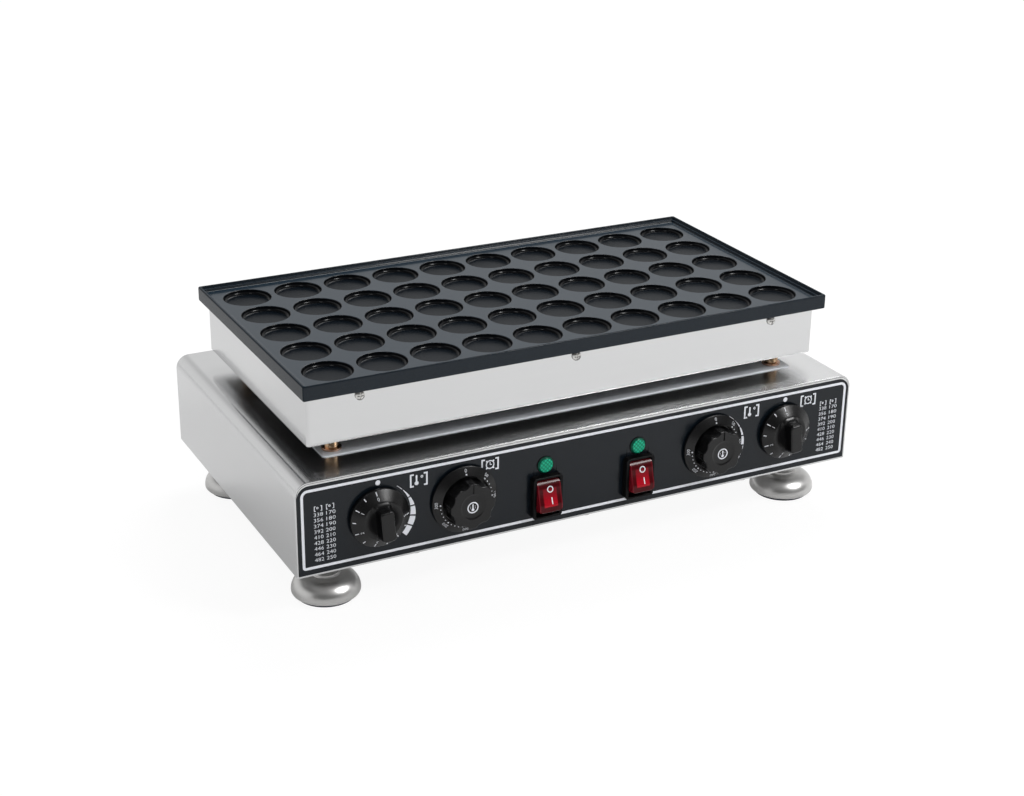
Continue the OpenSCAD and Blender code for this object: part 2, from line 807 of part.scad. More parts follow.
// Control body behind the panel with its threaded bush through the panel and its tail blades
module control_body(w, h, depth) {
  difference() {
    union() {
      translate([-w / 2, -h / 2, -sheet - depth]) cube([w, h, depth]);
      translate([0, 0, -sheet - cut]) cylinder(r = bush_r, h = sheet + cut + overlay_t + bush_reach);
      for (x = [-1, 1], y = [-1, 1])
        translate([x * w / 4 - blade.x / 2, y * h / 4 - blade.z / 2, -sheet - depth - blade.y])
          cube([blade.x, blade.z, blade.y + cut]);
    }
    translate([0, 0, -sheet - spindle_in - 1])
      cylinder(d = spindle_d + 2 * running, h = spindle_in + sheet + overlay_t + bush_reach + 2 * cut);
  }
}

module timer(side) {
  color([0.85, 0.83, 0.76]) on_panel(side * timer_x, control_z)
    control_body(timer_body, timer_body, timer_depth);
}

module thermostat(side) {
  color([0.6, 0.6, 0.6]) on_panel(side * thermostat_x, control_z)
    control_body(thermostat_body_w, thermostat_body_h, thermostat_depth);
}

module bush_nuts() {
  color([0.7, 0.7, 0.7]) for (x = [-timer_x, -thermostat_x, thermostat_x, timer_x])
    on_panel(x, control_z, face_y) hex_nut(2 * bush_r, bush_nut_h);
}

module spindle(x, knob_h) {
  color([0.7, 0.7, 0.7]) on_panel(x, control_z) translate([0, 0, -sheet - spindle_in])
    cylinder(d = spindle_d, h = spindle_in + sheet + overlay_t + knob_gap + knob_h - knob_floor);
}

// Hollow under a knob for the bush and its nut, and the socket for the spindle
module knob_hollow(knob_h) {
  translate([0, 0, -cut]) cylinder(r = knob_hollow_r, h = knob_hollow_h + cut);
  translate([0, 0, -cut]) cylinder(d = spindle_d + 2 * press_fit, h = knob_h - knob_floor + cut);
}

// Timer knob at its zero: a bar that points straight up, flared at its foot into the dial's hub
module timer_knob(side) {
  bar_corner = 3;
  flare_h = 3;
  flat = 0.02;
  color([0.13, 0.13, 0.14]) on_panel(side * timer_x, control_z, face_y - knob_gap) difference() {
    union() {
      cylinder(d = timer_dial_d, h = timer_edge);
      translate([0, 0, timer_edge])
        cylinder(d1 = timer_dial_d, d2 = timer_hub_d, h = timer_cone_h - timer_edge);
      hull() {
        translate([0, 0, timer_cone_h - flat]) cylinder(d = timer_hub_d, h = flat);
        translate([0, 0, timer_cone_h + flare_h]) rounded_box(timer_bar_w, timer_bar_len, flat, bar_corner);
      }
      rounded_box(timer_bar_w, timer_bar_len, timer_knob_h, bar_corner);
    }
    knob_hollow(timer_knob_h);
  }
}

module thermostat_knob(side) {
  edge = 2;
  flute_r = 9;
  flute_deep = 2;
  dish_r = 40;
  dish_d = 25;
  pointer_w = 1.4;
  dish_deep = dish_r - sqrt(dish_r * dish_r - dish_d * dish_d / 4);
  color([0.13, 0.13, 0.14]) on_panel(side * thermostat_x, control_z, face_y - knob_gap) difference() {
    union() {
      cylinder(d = thermostat_dial_d, h = edge);
      translate([0, 0, edge])
        cylinder(d1 = thermostat_dial_d, d2 = grip_d + 3, h = thermostat_ring_h - edge);
      difference() {
        cylinder(d = grip_d, h = thermostat_knob_h);
        for (i = [0 : flutes - 1])
          rotate((i + 0.5) * 360 / flutes)
            translate([0, grip_d / 2 + flute_r - flute_deep, thermostat_ring_h])
              cylinder(r = flute_r, h = thermostat_knob_h);
      }
    }
    translate([0, 0, thermostat_knob_h + dish_r - dish_deep]) sphere(dish_r);
    translate([-pointer_w / 2, dish_d / 2, thermostat_knob_h - 1]) cube([pointer_w, grip_d, 2]);
    knob_hollow(thermostat_knob_h);
  }
}

module switch_body(side) {
  deep = overlay_t + bezel_t - pivot_drop;
  color([0.08, 0.08, 0.08]) on_panel(side * switch_x, switch_z) difference() {
    union() {
      translate([0, 0, overlay_t]) rounded_box(bezel_w, bezel_h, bezel_t, bezel_corner);
      translate([0, 0, -switch_depth])
        rounded_box(switch_body_w, switch_body_h, switch_depth + cut, switch_corner);
      for (x = [-1, 1], y = [-1, 0, 1])
        translate([x * switch_body_w / 4 - blade.x / 2, y * switch_body_h / 3 - blade.z / 2,
          -switch_depth - blade.y]) cube([blade.x, blade.z, blade.y + cut]);
    }
    translate([0, 0, overlay_t]) rounded_box(opening_w, opening_h, bezel_t + cut, switch_corner);
    translate([0, 0, deep - pivot_well])
      rounded_box(opening_w, pocket_h, pivot_well + bezel_t, switch_corner);
    translate([-opening_w / 2 - pivot_pin - pivot_end, 0, deep]) rotate([0, 90, 0])
      cylinder(r = pivot_r + running, h = opening_w + 2 * pivot_pin + 2 * pivot_end);
  }
}

// Rocker paddle at rest, with its upper half pressed in
module rocker(side) {
  half = rocker_h / 2;
  color([0.72, 0.08, 0.1])
    on_panel(side * switch_x, switch_z, face_y - bezel_t + pivot_drop) rotate([-rocker_tilt, 0, 0]) {
      rotate([90, 0, 90]) linear_extrude(rocker_w, center = true)
        polygon([[-half, paddle_end], [0, paddle_mid], [half, paddle_end], [half - paddle_draft, paddle_low],
          [half / 3, -paddle_root], [-half / 3, -paddle_root], [paddle_draft - half, paddle_low]]);
      translate([-opening_w / 2 - pivot_pin, 0, 0]) rotate([0, 90, 0])
        cylinder(r = pivot_r, h = opening_w + 2 * pivot_pin);
    }
}

module lamp(side) {
  color([0.1, 0.12, 0.11]) on_panel(side * switch_x, lamp_z) difference() {
    union() {
      translate([0, 0, overlay_t]) cylinder(d = lamp_d, h = lamp_flange_t);
      translate([0, 0, -lamp_len]) cylinder(r = lamp_body_r, h = lamp_len + cut);
      for (x = [-1, 1])
        translate([x * lamp_blade_x - lamp_blade_w / 2, -blade.z / 2, -lamp_len - blade.y])
          cube([lamp_blade_w, blade.z, blade.y + cut]);
    }
    translate([0, 0, overlay_t + lamp_flange_t - lens_seat])
      cylinder(r = lens_plug_r + bear, h = lens_seat + cut);
  }
}

module lamp_lens(side) {
  color([0.0, 0.6, 0.36]) on_panel(side * switch_x, lamp_z, face_y - lamp_flange_t) {
    cylinder(d1 = lens_d, d2 = lens_top_d, h = lens_reach);
    translate([0, 0, bear - lens_seat]) cylinder(r = lens_plug_r, h = lens_seat);
  }
}

module lamp_nuts() {
  color([0.1, 0.1, 0.1]) for (s = [-1, 1])
    on_panel(s * switch_x, lamp_z, inner_front_y + lamp_nut_h)
      hex_nut(2 * lamp_body_r, lamp_nut_h, lamp_nut_d);
}

// Feet

module foot(sx, sy) {
  color([0.74, 0.74, 0.73]) translate([sx * foot_x, sy * foot_y, 0]) difference() {
    rotate_extrude() {
      intersection() {
        translate([crown_r, lip_z]) circle(foot_shoulder);
        translate([0, lip_z]) square(foot_d);
      }
      intersection() {
        translate([foot_r - foot_lip, lip_z]) circle(foot_lip);
        translate([0, pad_t]) square([foot_d, foot_lip]);
      }
      translate([0, pad_t]) square([foot_r - foot_lip, foot_lip]);
      translate([0, lip_z]) square([crown_r, foot_shoulder]);
      translate([0, crown_z - cut]) square([collar_r, collar_h + cut]);
      square([stem_d / 2, base_z - seat]);
      square([rod_d / 2, base_z + sheet + rod_in]);
    }
    translate([0, 0, -cut]) cylinder(r = foot_hollow_r, h = lip_z + cut);
  }
}

module foot_pad(sx, sy) {
  color([0.13, 0.14, 0.18]) translate([sx * foot_x, sy * foot_y, 0]) {
    cylinder(r = pad_r, h = pad_t);
    cylinder(r = foot_hollow_r - bear, h = lip_z - bear);
  }
}

module foot_nuts() {
  h = nut_h(rod_d);
  color([0.7, 0.7, 0.7]) at_feet() translate([0, 0, housing_z]) difference() {
    cylinder(d = nut_d(rod_d), h = h, $fn = 6);
    translate([0, 0, -cut]) cylinder(d = rod_d + 2 * running, h = h + 2 * cut);
  }
}

// The whole object, moved so that the origin is under the middle of the outline
module placed() {
  translate([0, origin_y, 0]) children();
}

placed() baking_plate();
placed() plate_skirt();
placed() skirt_screws();
placed() head_floor();
placed() insulation_mat();
placed() heater(-1);  // heater_left
placed() heater(1);  // heater_right
placed() clamp_bars();
placed() clamp_nuts();
placed() sensor(-1);  // sensor_left
placed() sensor(1);  // sensor_right
placed() wire_sleeve();
placed() post(-1, -1);  // post_front_left
placed() post(1, -1);  // post_front_right
placed() post(-1, 1);  // post_back_left
placed() post(1, 1);  // post_back_right
placed() post_washers();
placed() post_nuts();
placed() heat_shield();
placed() housing_cover();
placed() front_panel();
placed() control_overlay();
placed() back_panel();
placed() base_plate();
placed() base_screws();
placed() cable_gland();
placed() gland_nut();
placed() terminal_block();
placed() timer(-1);  // timer_left
placed() timer(1);  // timer_right
placed() thermostat(-1);  // thermostat_left
placed() thermostat(1);  // thermostat_right
placed() bush_nuts();
placed() spindle(-timer_x, timer_knob_h);  // timer_spindle_left
placed() spindle(timer_x, timer_knob_h);  // timer_spindle_right
placed() spindle(-thermostat_x, thermostat_knob_h);  // thermostat_spindle_left
placed() spindle(thermostat_x, thermostat_knob_h);  // thermostat_spindle_right
placed() timer_knob(-1);  // timer_knob_left
placed() timer_knob(1);  // timer_knob_right
placed() thermostat_knob(-1);  // thermostat_knob_left
placed() thermostat_knob(1);  // thermostat_knob_right
placed() switch_body(-1);  // switch_left
placed() switch_body(1);  // switch_right
placed() rocker(-1);  // rocker_left
placed() rocker(1);  // rocker_right
placed() lamp(-1);  // lamp_left
placed() lamp(1);  // lamp_right
placed() lamp_lens(-1);  // lamp_lens_left
placed() lamp_lens(1);  // lamp_lens_right
placed() lamp_nuts();
placed() foot(-1, -1);  // foot_front_left
placed() foot(1, -1);  // foot_front_right
placed() foot(-1, 1);  // foot_back_left
placed() foot(1, 1);  // foot_back_right
placed() foot_pad(-1, -1);  // foot_pad_front_left
placed() foot_pad(1, -1);  // foot_pad_front_right
placed() foot_pad(-1, 1);  // foot_pad_back_left
placed() foot_pad(1, 1);  // foot_pad_back_right
placed() foot_nuts();
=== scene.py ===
import json
import math
import bpy
from mathutils import Matrix, Vector


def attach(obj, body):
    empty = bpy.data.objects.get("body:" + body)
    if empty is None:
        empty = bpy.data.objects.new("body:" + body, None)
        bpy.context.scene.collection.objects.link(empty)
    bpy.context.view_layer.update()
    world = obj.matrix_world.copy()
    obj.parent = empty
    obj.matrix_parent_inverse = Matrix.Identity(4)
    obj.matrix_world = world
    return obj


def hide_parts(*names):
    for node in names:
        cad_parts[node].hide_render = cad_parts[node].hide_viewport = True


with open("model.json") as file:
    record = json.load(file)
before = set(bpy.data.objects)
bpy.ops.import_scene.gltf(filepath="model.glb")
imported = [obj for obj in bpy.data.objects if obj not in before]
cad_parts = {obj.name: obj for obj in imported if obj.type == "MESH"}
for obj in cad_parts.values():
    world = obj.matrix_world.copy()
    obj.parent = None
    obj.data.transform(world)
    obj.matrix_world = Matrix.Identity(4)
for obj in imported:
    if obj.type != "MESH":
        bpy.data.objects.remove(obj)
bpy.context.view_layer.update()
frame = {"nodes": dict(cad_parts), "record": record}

nodes = frame["nodes"]
slotOf = {part["node"]: part["material_slot"] for part in frame["record"]["subparts"]}
mm = 0.001
sides = {"left": -1, "right": 1}
scene = bpy.context.scene
scene.view_settings.view_transform = "Standard"
print("frame loaded:", len(nodes), "nodes")

# camera, at the photo's angle
cameraSpec = {
    "eye": (-745.0, -1447.3, 787.5), "azimuth": -27.29, "elevation": 23.01, "roll": 0.679,
    "lens": 64.79, "sensor": 36, "near": 0.05, "far": 60,
}


def placeCamera(spec):
    azimuth, elevation, roll = (math.radians(spec[key]) for key in ("azimuth", "elevation", "roll"))
    level = math.cos(elevation)
    back = Vector((math.sin(azimuth) * level, -math.cos(azimuth) * level, math.sin(elevation)))
    right = (-back).cross(Vector((0, 0, 1))).normalized()
    up = right.cross(-back)
    leanRight = right * math.cos(roll) + up * math.sin(roll)
    leanUp = up * math.cos(roll) - right * math.sin(roll)
    bpy.ops.object.camera_add()
    camera = bpy.context.object
    turn = Matrix((leanRight, leanUp, back)).transposed().to_4x4()
    camera.matrix_world = Matrix.Translation(Vector(spec["eye"]) * mm) @ turn
    camera.data.sensor_fit = "HORIZONTAL"
    camera.data.sensor_width, camera.data.lens = spec["sensor"], spec["lens"]
    camera.data.clip_start, camera.data.clip_end = spec["near"], spec["far"]
    scene.camera = camera


placeCamera(cameraSpec)


# shader sockets written as expressions
class Wire:
    def __init__(self, finish, socket):
        self.finish, self.socket = finish, socket

    def maths(self, kind, first, second=0.0):
        return self.finish.node("ShaderNodeMath", {"operation": kind}, {0: first, 1: second})

    def __add__(self, other):
        return self.maths("ADD", self, other)

    def __radd__(self, other):
        return self.maths("ADD", other, self)

    def __sub__(self, other):
        return self.maths("SUBTRACT", self, other)

    def __rsub__(self, other):
        return self.maths("SUBTRACT", other, self)

    def __mul__(self, other):
        return self.maths("MULTIPLY", self, other)

    def __rmul__(self, other):
        return self.maths("MULTIPLY", other, self)

    def __gt__(self, other):
        return self.maths("GREATER_THAN", self, other)

    def __lt__(self, other):
        return self.maths("LESS_THAN", self, other)

    def __abs__(self):
        return self.maths("ABSOLUTE", self)

    def over(self, low, high):
        return self.finish.node("ShaderNodeMapRange", {"interpolation_type": "SMOOTHSTEP"},
                                {"Value": self, "From Min": low, "From Max": high})


class Finish:
    def __init__(self, name, kind="material", **fixed):
        if kind == "world":
            owner = bpy.data.worlds.new(name)
            scene.world = owner
        else:
            owner = bpy.data.materials.new(name)
        owner.use_nodes = True
        self.owner, self.tree = owner, owner.node_tree
        self.shader = self.tree.nodes.get("Principled BSDF")
        for key, value in fixed.items():
            self.shader.inputs[key.replace("_", " ")].default_value = value

    def node(self, kind, settings, sockets, out=0):
        made = self.tree.nodes.new(kind)
        for key, value in settings.items():
            setattr(made, key, value)
        for key, value in sockets.items():
            self.join(value, made.inputs[key])
        return Wire(self, made.outputs[out])

    def join(self, value, socket):
        if isinstance(value, Wire):
            self.tree.links.new(value.socket, socket)
        else:
            socket.default_value = value

    def feed(self, **links):
        for key, value in links.items():
            self.join(value, self.shader.inputs[key.replace("_", " ")])

    def place(self, scale=(1, 1, 1)):
        where = self.node("ShaderNodeTexCoord", {}, {}, "Object")
        return self.node("ShaderNodeMapping", {}, {"Vector": where, "Scale": scale})

    def split(self, vector):
        parts = self.node("ShaderNodeSeparateXYZ", {}, {0: vector}).socket.node
        return [Wire(self, out) for out in parts.outputs]

    def axes(self):
        return self.split(self.place())

    def facing(self):
        normal = self.node("ShaderNodeNewGeometry", {}, {}, "Normal")
        return [abs(part) for part in self.split(normal)]

    def rays(self):
        # what looks at the point: the camera, a reflection or a clear piece
        path = self.node("ShaderNodeLightPath", {}, {}).socket.node
        kinds = ("Is Camera Ray", "Is Glossy Ray", "Is Transmission Ray")
        return [Wire(self, path.outputs[kind]) for kind in kinds]

    def noise(self, scale, detail=2.0, rough=0.5, stretch=(1, 1, 1)):
        sockets = {"Vector": self.place(stretch), "Scale": scale, "Detail": detail, "Roughness": rough}
        return self.node("ShaderNodeTexNoise", {}, sockets)

    def blend(self, amount, first, second):
        return self.node("ShaderNodeMix", {"data_type": "RGBA"}, {0: amount, 6: first, 7: second}, 2)

    def bump(self, height, strength, depth):
        return self.node("ShaderNodeBump", {}, {"Strength": strength, "Distance": depth, "Height": height})


def shade(red, green, blue):
    return (red, green, blue, 1.0)


def grey(level):
    return shade(level, level, level)


# floor, world and lamps
stageSpec = {
    "floorWide": 40.0, "floorCuts": 3, "floorWhite": 0.92, "floorPale": 0.9384, "cloudScale": 1.5,
    "cameraShare": 0.88, "glow": 1.04, "glossShare": 0.20, "skyLight": 0.50, "glossLow": 0.95,
    "glossHigh": 0.14, "frontDark": 0.88, "frontHigh": 0.20, "frontBand": (0.15, 0.55),
    "upperBand": (0.42, 0.62),
}


def makeFloor(spec):
    pick()
    bpy.ops.mesh.primitive_plane_add(size=spec["floorWide"], location=(0, 0, 0))
    floor = started("studioFloor")
    bpy.ops.object.mode_set(mode="EDIT")
    bpy.ops.mesh.subdivide(number_cuts=spec["floorCuts"])
    bpy.ops.object.mode_set(mode="OBJECT")
    paper = Finish("studioPaper", Roughness=0.9)
    cloud = paper.noise(spec["cloudScale"])
    paper.feed(Base_Color=paper.blend(cloud, grey(spec["floorWhite"]), grey(spec["floorPale"])))
    camera, gloss, clear = paper.rays()
    share = camera * spec["cameraShare"] + gloss * spec["glossShare"] + clear * spec["cameraShare"]
    glow = paper.node("ShaderNodeEmission", {}, {"Color": grey(1), "Strength": spec["glow"]})
    sheet = Wire(paper, paper.shader.outputs[0])
    mixed = paper.node("ShaderNodeMixShader", {}, {0: share, 1: sheet, 2: glow})
    paper.join(mixed, paper.tree.nodes["Material Output"].inputs["Surface"])
    floor.data.materials.append(paper.owner)


def makeSky(spec):
    # reflections see a sky with a dark lower front and a dim upper part
    sky = Finish("studioSky", "world")
    base = sky.tree.nodes["Background"]
    camera, gloss, clear = sky.rays()
    seen = camera + clear
    way = sky.node("ShaderNodeTexCoord", {}, {}, "Generated")
    _, depth, height = sky.split(way)
    front = (0.0 - depth).over(*spec["frontBand"])
    upper = height.over(*spec["upperBand"])
    dome = (1.0 - upper) * spec["glossLow"] * (1.0 - front * spec["frontDark"])
    dome = dome + upper * (front * spec["frontHigh"] + spec["glossHigh"])
    level = seen + gloss * dome + (1.0 - seen - gloss) * spec["skyLight"]
    sky.join(level, base.inputs["Strength"])
    sky.join(grey(1), base.inputs["Color"])


keySide = (0.46, -0.61, 0.64)
lampAim = Vector((0, 0, 0.12))
lampSpec = [
    {"name": "keyBox", "from": keySide, "away": 2.2, "size": 0.55, "watts": 14},
    {"name": "sparkBox", "from": keySide, "away": 2.2, "size": 0.6, "watts": 40, "glossOnly": True},
    {"name": "fillBox", "from": (-0.41, -0.30, 0.84), "away": 2.2, "size": 0.4, "watts": 3},
    {"name": "backBox", "from": (0.42, 0.50, 0.76), "away": 6.0, "size": 3.2, "watts": 178},
]


def makeLamps(specs):
    for spec in specs:
        way = Vector(spec["from"]).normalized()
        bpy.ops.object.light_add(type="AREA", location=way * spec["away"] + lampAim)
        lamp = bpy.context.object
        lamp.name = spec["name"]
        lamp.rotation_euler = way.to_track_quat("Z", "Y").to_euler()
        lamp.data.shape, lamp.data.size = "DISK", spec["size"]
        lamp.data.energy = spec["watts"]
        lamp.visible_diffuse = not spec.get("glossOnly", False)


# hand tools: points nearer than a weld become one, and so do faces within flatAngle
turnWeld, solidWeld = 0.01 * mm, 0.004 * mm
flatAngle = math.radians(0.5)


def pick(*pieces):
    if bpy.context.mode != "OBJECT":
        bpy.ops.object.mode_set(mode="OBJECT")
    bpy.ops.object.select_all(action="DESELECT")
    for piece in pieces:
        piece.select_set(True)
        bpy.context.view_layer.objects.active = piece


def applied(piece):
    pick(piece)
    bpy.ops.object.transform_apply(location=True, rotation=True, scale=True)
    return piece


def started(name):
    piece = bpy.context.object
    piece.name = piece.data.name = name
    return applied(piece)


def block(name, low, high):
    pick()
    size = [(b - a) * mm for a, b in zip(low, high)]
    middle = [(a + b) / 2 * mm for a, b in zip(low, high)]
    bpy.ops.mesh.primitive_cube_add(size=1, location=middle, scale=size)
    return started(name)


def chain(name, points):
    # a plane drawn together to one point, then drawn out along the line; stays in edit mode
    pick()
    bpy.ops.mesh.primitive_plane_add(size=mm)
    piece = started(name)
    bpy.ops.object.mode_set(mode="EDIT")
    bpy.ops.mesh.select_all(action="SELECT")
    bpy.ops.mesh.merge(type="CENTER")
    bpy.ops.transform.translate(value=Vector(points[0]) * mm)
    for a, b in zip(points, points[1:]):
        bpy.ops.mesh.extrude_vertices_move(TRANSFORM_OT_translate={"value": (Vector(b) - Vector(a)) * mm})
    bpy.ops.mesh.select_all(action="SELECT")
    return piece


def turned(name, outline, steps=64):
    piece = chain(name, [(radius, 0, height) for radius, height in outline])
    bpy.ops.mesh.spin(steps=steps, angle=2 * math.pi, center=(0, 0, 0), axis=(0, 0, 1))
    bpy.ops.mesh.select_all(action="SELECT")
    bpy.ops.mesh.remove_doubles(threshold=turnWeld)
    bpy.ops.mesh.normals_make_consistent(inside=False)
    bpy.ops.object.mode_set(mode="OBJECT")
    return piece


def cutOut(name, outline, low, high):
    # flat outline in x and y, drawn up from low to high
    piece = chain(name, [(x, y, low) for x, y in outline])
    bpy.ops.mesh.edge_face_add()
    bpy.ops.mesh.select_all(action="SELECT")
    bpy.ops.mesh.extrude_region_move(TRANSFORM_OT_translate={"value": (0, 0, (high - low) * mm)})
    bpy.ops.mesh.select_all(action="SELECT")
    bpy.ops.mesh.normals_make_consistent(inside=False)
    bpy.ops.object.mode_set(mode="OBJECT")
    return piece


def skinned(name, rings):
    # a stack of outlines with equal numbers of points, bridged and closed at both ends
    loops = []
    for ring in rings:
        loops.append(chain(name, ring))
        bpy.ops.mesh.edge_face_add()
        bpy.ops.mesh.delete(type="ONLY_FACE")
    piece = joined(name, loops)
    bpy.ops.object.mode_set(mode="EDIT")
    bpy.ops.mesh.select_all(action="SELECT")
    bpy.ops.mesh.bridge_edge_loops()
    bpy.ops.mesh.select_all(action="SELECT")
    bpy.ops.mesh.fill_holes(sides=0)
    bpy.ops.mesh.select_all(action="SELECT")
    bpy.ops.mesh.normals_make_consistent(inside=False)
    bpy.ops.object.mode_set(mode="OBJECT")
    return piece


def rounded(piece, width, segments=3, angle=35, clamp=True):
    pick(piece)
    bevel = piece.modifiers.new("edges", "BEVEL")
    bevel.width, bevel.segments = width * mm, segments
    bevel.limit_method, bevel.angle_limit = "ANGLE", math.radians(angle)
    bevel.use_clamp_overlap = clamp
    bpy.ops.object.modifier_apply(modifier="edges")
    return piece


def cutAway(piece, cutter, how="DIFFERENCE"):
    pick(piece)
    tool = piece.modifiers.new("cut", "BOOLEAN")
    tool.operation, tool.solver, tool.object = how, "EXACT", cutter
    bpy.ops.object.modifier_apply(modifier="cut")
    bpy.data.objects.remove(cutter)
    return piece


def twin(piece, name, shift=(0, 0, 0)):
    pick(piece)
    bpy.ops.object.duplicate(linked=False)
    copy = bpy.context.object
    copy.name = copy.data.name = name
    copy.location = Vector(shift) * mm
    return applied(copy)


def joined(name, pieces):
    pick(*pieces)
    if len(pieces) > 1:
        bpy.ops.object.join()
    piece = bpy.context.object
    piece.name = piece.data.name = name
    return piece


def stood(piece, place, lean=0.0):
    # from lying on its back, face up, to standing on the front panel
    piece.rotation_euler = (math.pi / 2 + math.radians(lean), 0, 0)
    piece.location = Vector(place) * mm
    return applied(piece)


def done(piece, finish, body, slot, *stands, angle=30):
    pick(piece)
    bpy.ops.object.shade_smooth_by_angle(angle=math.radians(angle))
    # wide flat faces keep their own normal beside narrow rounds
    fair = piece.modifiers.new("fair", "WEIGHTED_NORMAL")
    fair.keep_sharp = True
    bpy.ops.object.modifier_apply(modifier="fair")
    piece.data.materials.clear()
    piece.data.materials.append(finish.owner)
    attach(piece, body)
    if stands:
        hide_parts(*stands)
    return piece


def dressed(node, name, finish, edge, segments=2, angle=40):
    # a merged copy of a solid, with its sharp edges broken
    piece = bpy.data.objects.new(name, nodes[node].data.copy())
    scene.collection.objects.link(piece)
    pick(piece)
    bpy.ops.mesh.customdata_custom_splitnormals_clear()
    bpy.ops.object.mode_set(mode="EDIT")
    bpy.ops.mesh.select_all(action="SELECT")
    bpy.ops.mesh.remove_doubles(threshold=solidWeld)
    bpy.ops.mesh.dissolve_limited(angle_limit=flatAngle)
    bpy.ops.object.mode_set(mode="OBJECT")
    rounded(piece, edge, segments, angle, clamp=False)
    body = next(b for b, held in frame["record"]["behaviour"]["bodies"].items() if node in held)
    return done(piece, finish, body, slotOf[node], node)


def arc(middle, radius, start, end, count):
    points = []
    for i in range(count + 1):
        bearing = math.radians(start + (end - start) * i / count)
        points.append((middle[0] + radius * math.cos(bearing), middle[1] + radius * math.sin(bearing)))
    return points


def roundBox(wide, high, corner, count=5, middle=(0, 0), lower=None):
    # the lower corners may have a round of their own
    points = []
    for sx, sy, start in ((1, 1, 0), (-1, 1, 90), (-1, -1, 180), (1, -1, 270)):
        bend = lower if lower and sy < 0 else corner
        points += arc((middle[0] + sx * (wide / 2 - bend), middle[1] + sy * (high / 2 - bend)), bend,
                      start, start + 90, count)
    return points


inkThick = 0.1
digitSpec = {"capShare": 0.73, "slim": 0.05, "curveSteps": 2}


def digits(text, tall, thick=inkThick, wide=None):
    pick()
    bpy.ops.object.text_add()
    piece = bpy.context.object
    piece.data.body, piece.data.size = text, tall / digitSpec["capShare"] * mm
    piece.data.align_x, piece.data.align_y = "CENTER", "CENTER"
    piece.data.extrude, piece.data.resolution_u = thick / 2 * mm, digitSpec["curveSteps"]
    piece.data.offset = -digitSpec["slim"] * mm
    bpy.ops.object.convert(target="MESH")
    piece = bpy.context.object
    if wide:
        piece.scale = (wide * mm / piece.dimensions.x, 1, 1)
    return applied(piece)


def laid(piece, spot, right=(1, 0, 0), up=(0, 1, 0)):
    # puts a flat mark on a surface, by the directions of its own right and up
    right, up = Vector(right).normalized(), Vector(up).normalized()
    turn = Matrix((right, up, right.cross(up))).transposed().to_4x4()
    piece.matrix_world = Matrix.Translation(Vector(spot) * mm) @ turn
    return applied(piece)


# finishes
def steelFinish(name, light, dark, roughLow, roughHigh, grain=0.25):
    finish = Finish(name, Metallic=1.0)
    scale, fine, drawn = 26.0, 34, 0.6
    alongX = finish.noise(scale, 4.0, 0.65, (drawn, fine, fine))
    alongY = finish.noise(scale, 4.0, 0.65, (fine, drawn, fine))
    sideways = finish.facing()[0] > 0.6
    streak = alongX * (1 - sideways) + alongY * sideways
    cloud = finish.noise(7.0, 3.0)
    wear = streak * 0.6 + cloud * 0.4
    finish.feed(Base_Color=finish.blend(wear, shade(*dark), shade(*light)),
                Roughness=roughLow + wear * (roughHigh - roughLow),
                Normal=finish.bump(streak, grain, 0.00002))
    return finish


# places where a finish changes are in metres; a fade over a circle is in squared distances
coatSpec = {
    "wellTop": 0.2005, "wellArea": (0.2515, 0.1265), "rimLow": 0.2014,
    "floor": ((0.0024, 0.0046, 0.0076), (0.0042, 0.0072, 0.0112)),
    # the steep walls of the wells: a blacker colour than the well floors, painted shade
    "wall": ((0.0010, 0.0014, 0.0022), (0.0024, 0.0030, 0.0044)),
    # faces outside the wells that do not face up: a darker copy of the land's colour, painted shade
    "side": ((0.0045, 0.0095, 0.0155), (0.0075, 0.0135, 0.0205)),
    "land": ((0.0060, 0.0175, 0.0300), (0.0100, 0.0235, 0.0380)),
    "wallCoat": 0.22, "outerCoat": 0.42, "endLess": 0.24, "rimLess": 0.3,
}


def coatFinish(spec):
    # dark non-stick coat: duller and blacker in the wells than on the land between them, with painted shade
    # on the wells' steep walls and on the plate's sides
    finish = Finish("nonStickCoat", IOR=1.13, Coat_IOR=1.5, Coat_Roughness=0.12)
    x, y, z = finish.axes()
    halfX, halfY = spec["wellArea"]
    well = (z < spec["wellTop"]) * (abs(x) < halfX) * (abs(y) < halfY)
    ends, _, level = finish.facing()
    land = level.over(0.93, 0.995) * (1 - well)
    bed = level.over(0.82, 0.98) * well
    rim = (z > spec["rimLow"]) * level.over(0.2, 0.5)
    grit = finish.noise(1500.0, 2.0, 0.6)
    cloud = finish.noise(9.0, 3.0, 0.55)
    fine = grit * 0.5 + cloud * 0.5
    tones = {}
    for key in ("floor", "wall", "side", "land"):
        dark, light = spec[key]
        tones[key] = finish.blend(fine, shade(*dark), shade(*light))
    # the steep well walls take the blacker colour: painted shade
    inside = finish.blend(bed, tones["wall"], tones["floor"])
    # up-facing land lighter and all other faces darker: painted light and shade on one coat
    outside = finish.blend(land, tones["side"], tones["land"])
    outerCoat = spec["outerCoat"] - ends.over(0.5, 0.8) * spec["endLess"] - rim * spec["rimLess"]
    finish.feed(Base_Color=finish.blend(well, outside, inside),
                Coat_Weight=(well - bed) * spec["wallCoat"] + (1 - well) * outerCoat,
                Roughness=0.24 + land * 0.12 + grit * 0.06, Normal=finish.bump(grit, 0.12, 0.00004))
    return finish


def mouldedFinish(name, dark, light, rough, grain=900.0, bump=0.15, **fixed):
    finish = Finish(name, **fixed)
    grit = finish.noise(grain, 2.0, 0.55)
    cloud = finish.noise(60.0, 2.0)
    finish.feed(Base_Color=finish.blend(grit * 0.6 + cloud * 0.4, shade(*dark), shade(*light)),
                Roughness=rough + grit * 0.1, Normal=finish.bump(grit, bump, 0.00003))
    return finish


knobZone = {"x": 0.206, "z": 0.087, "front": -0.1808, "fade": (0.00011, 0.00028), "coatLess": 0.93}


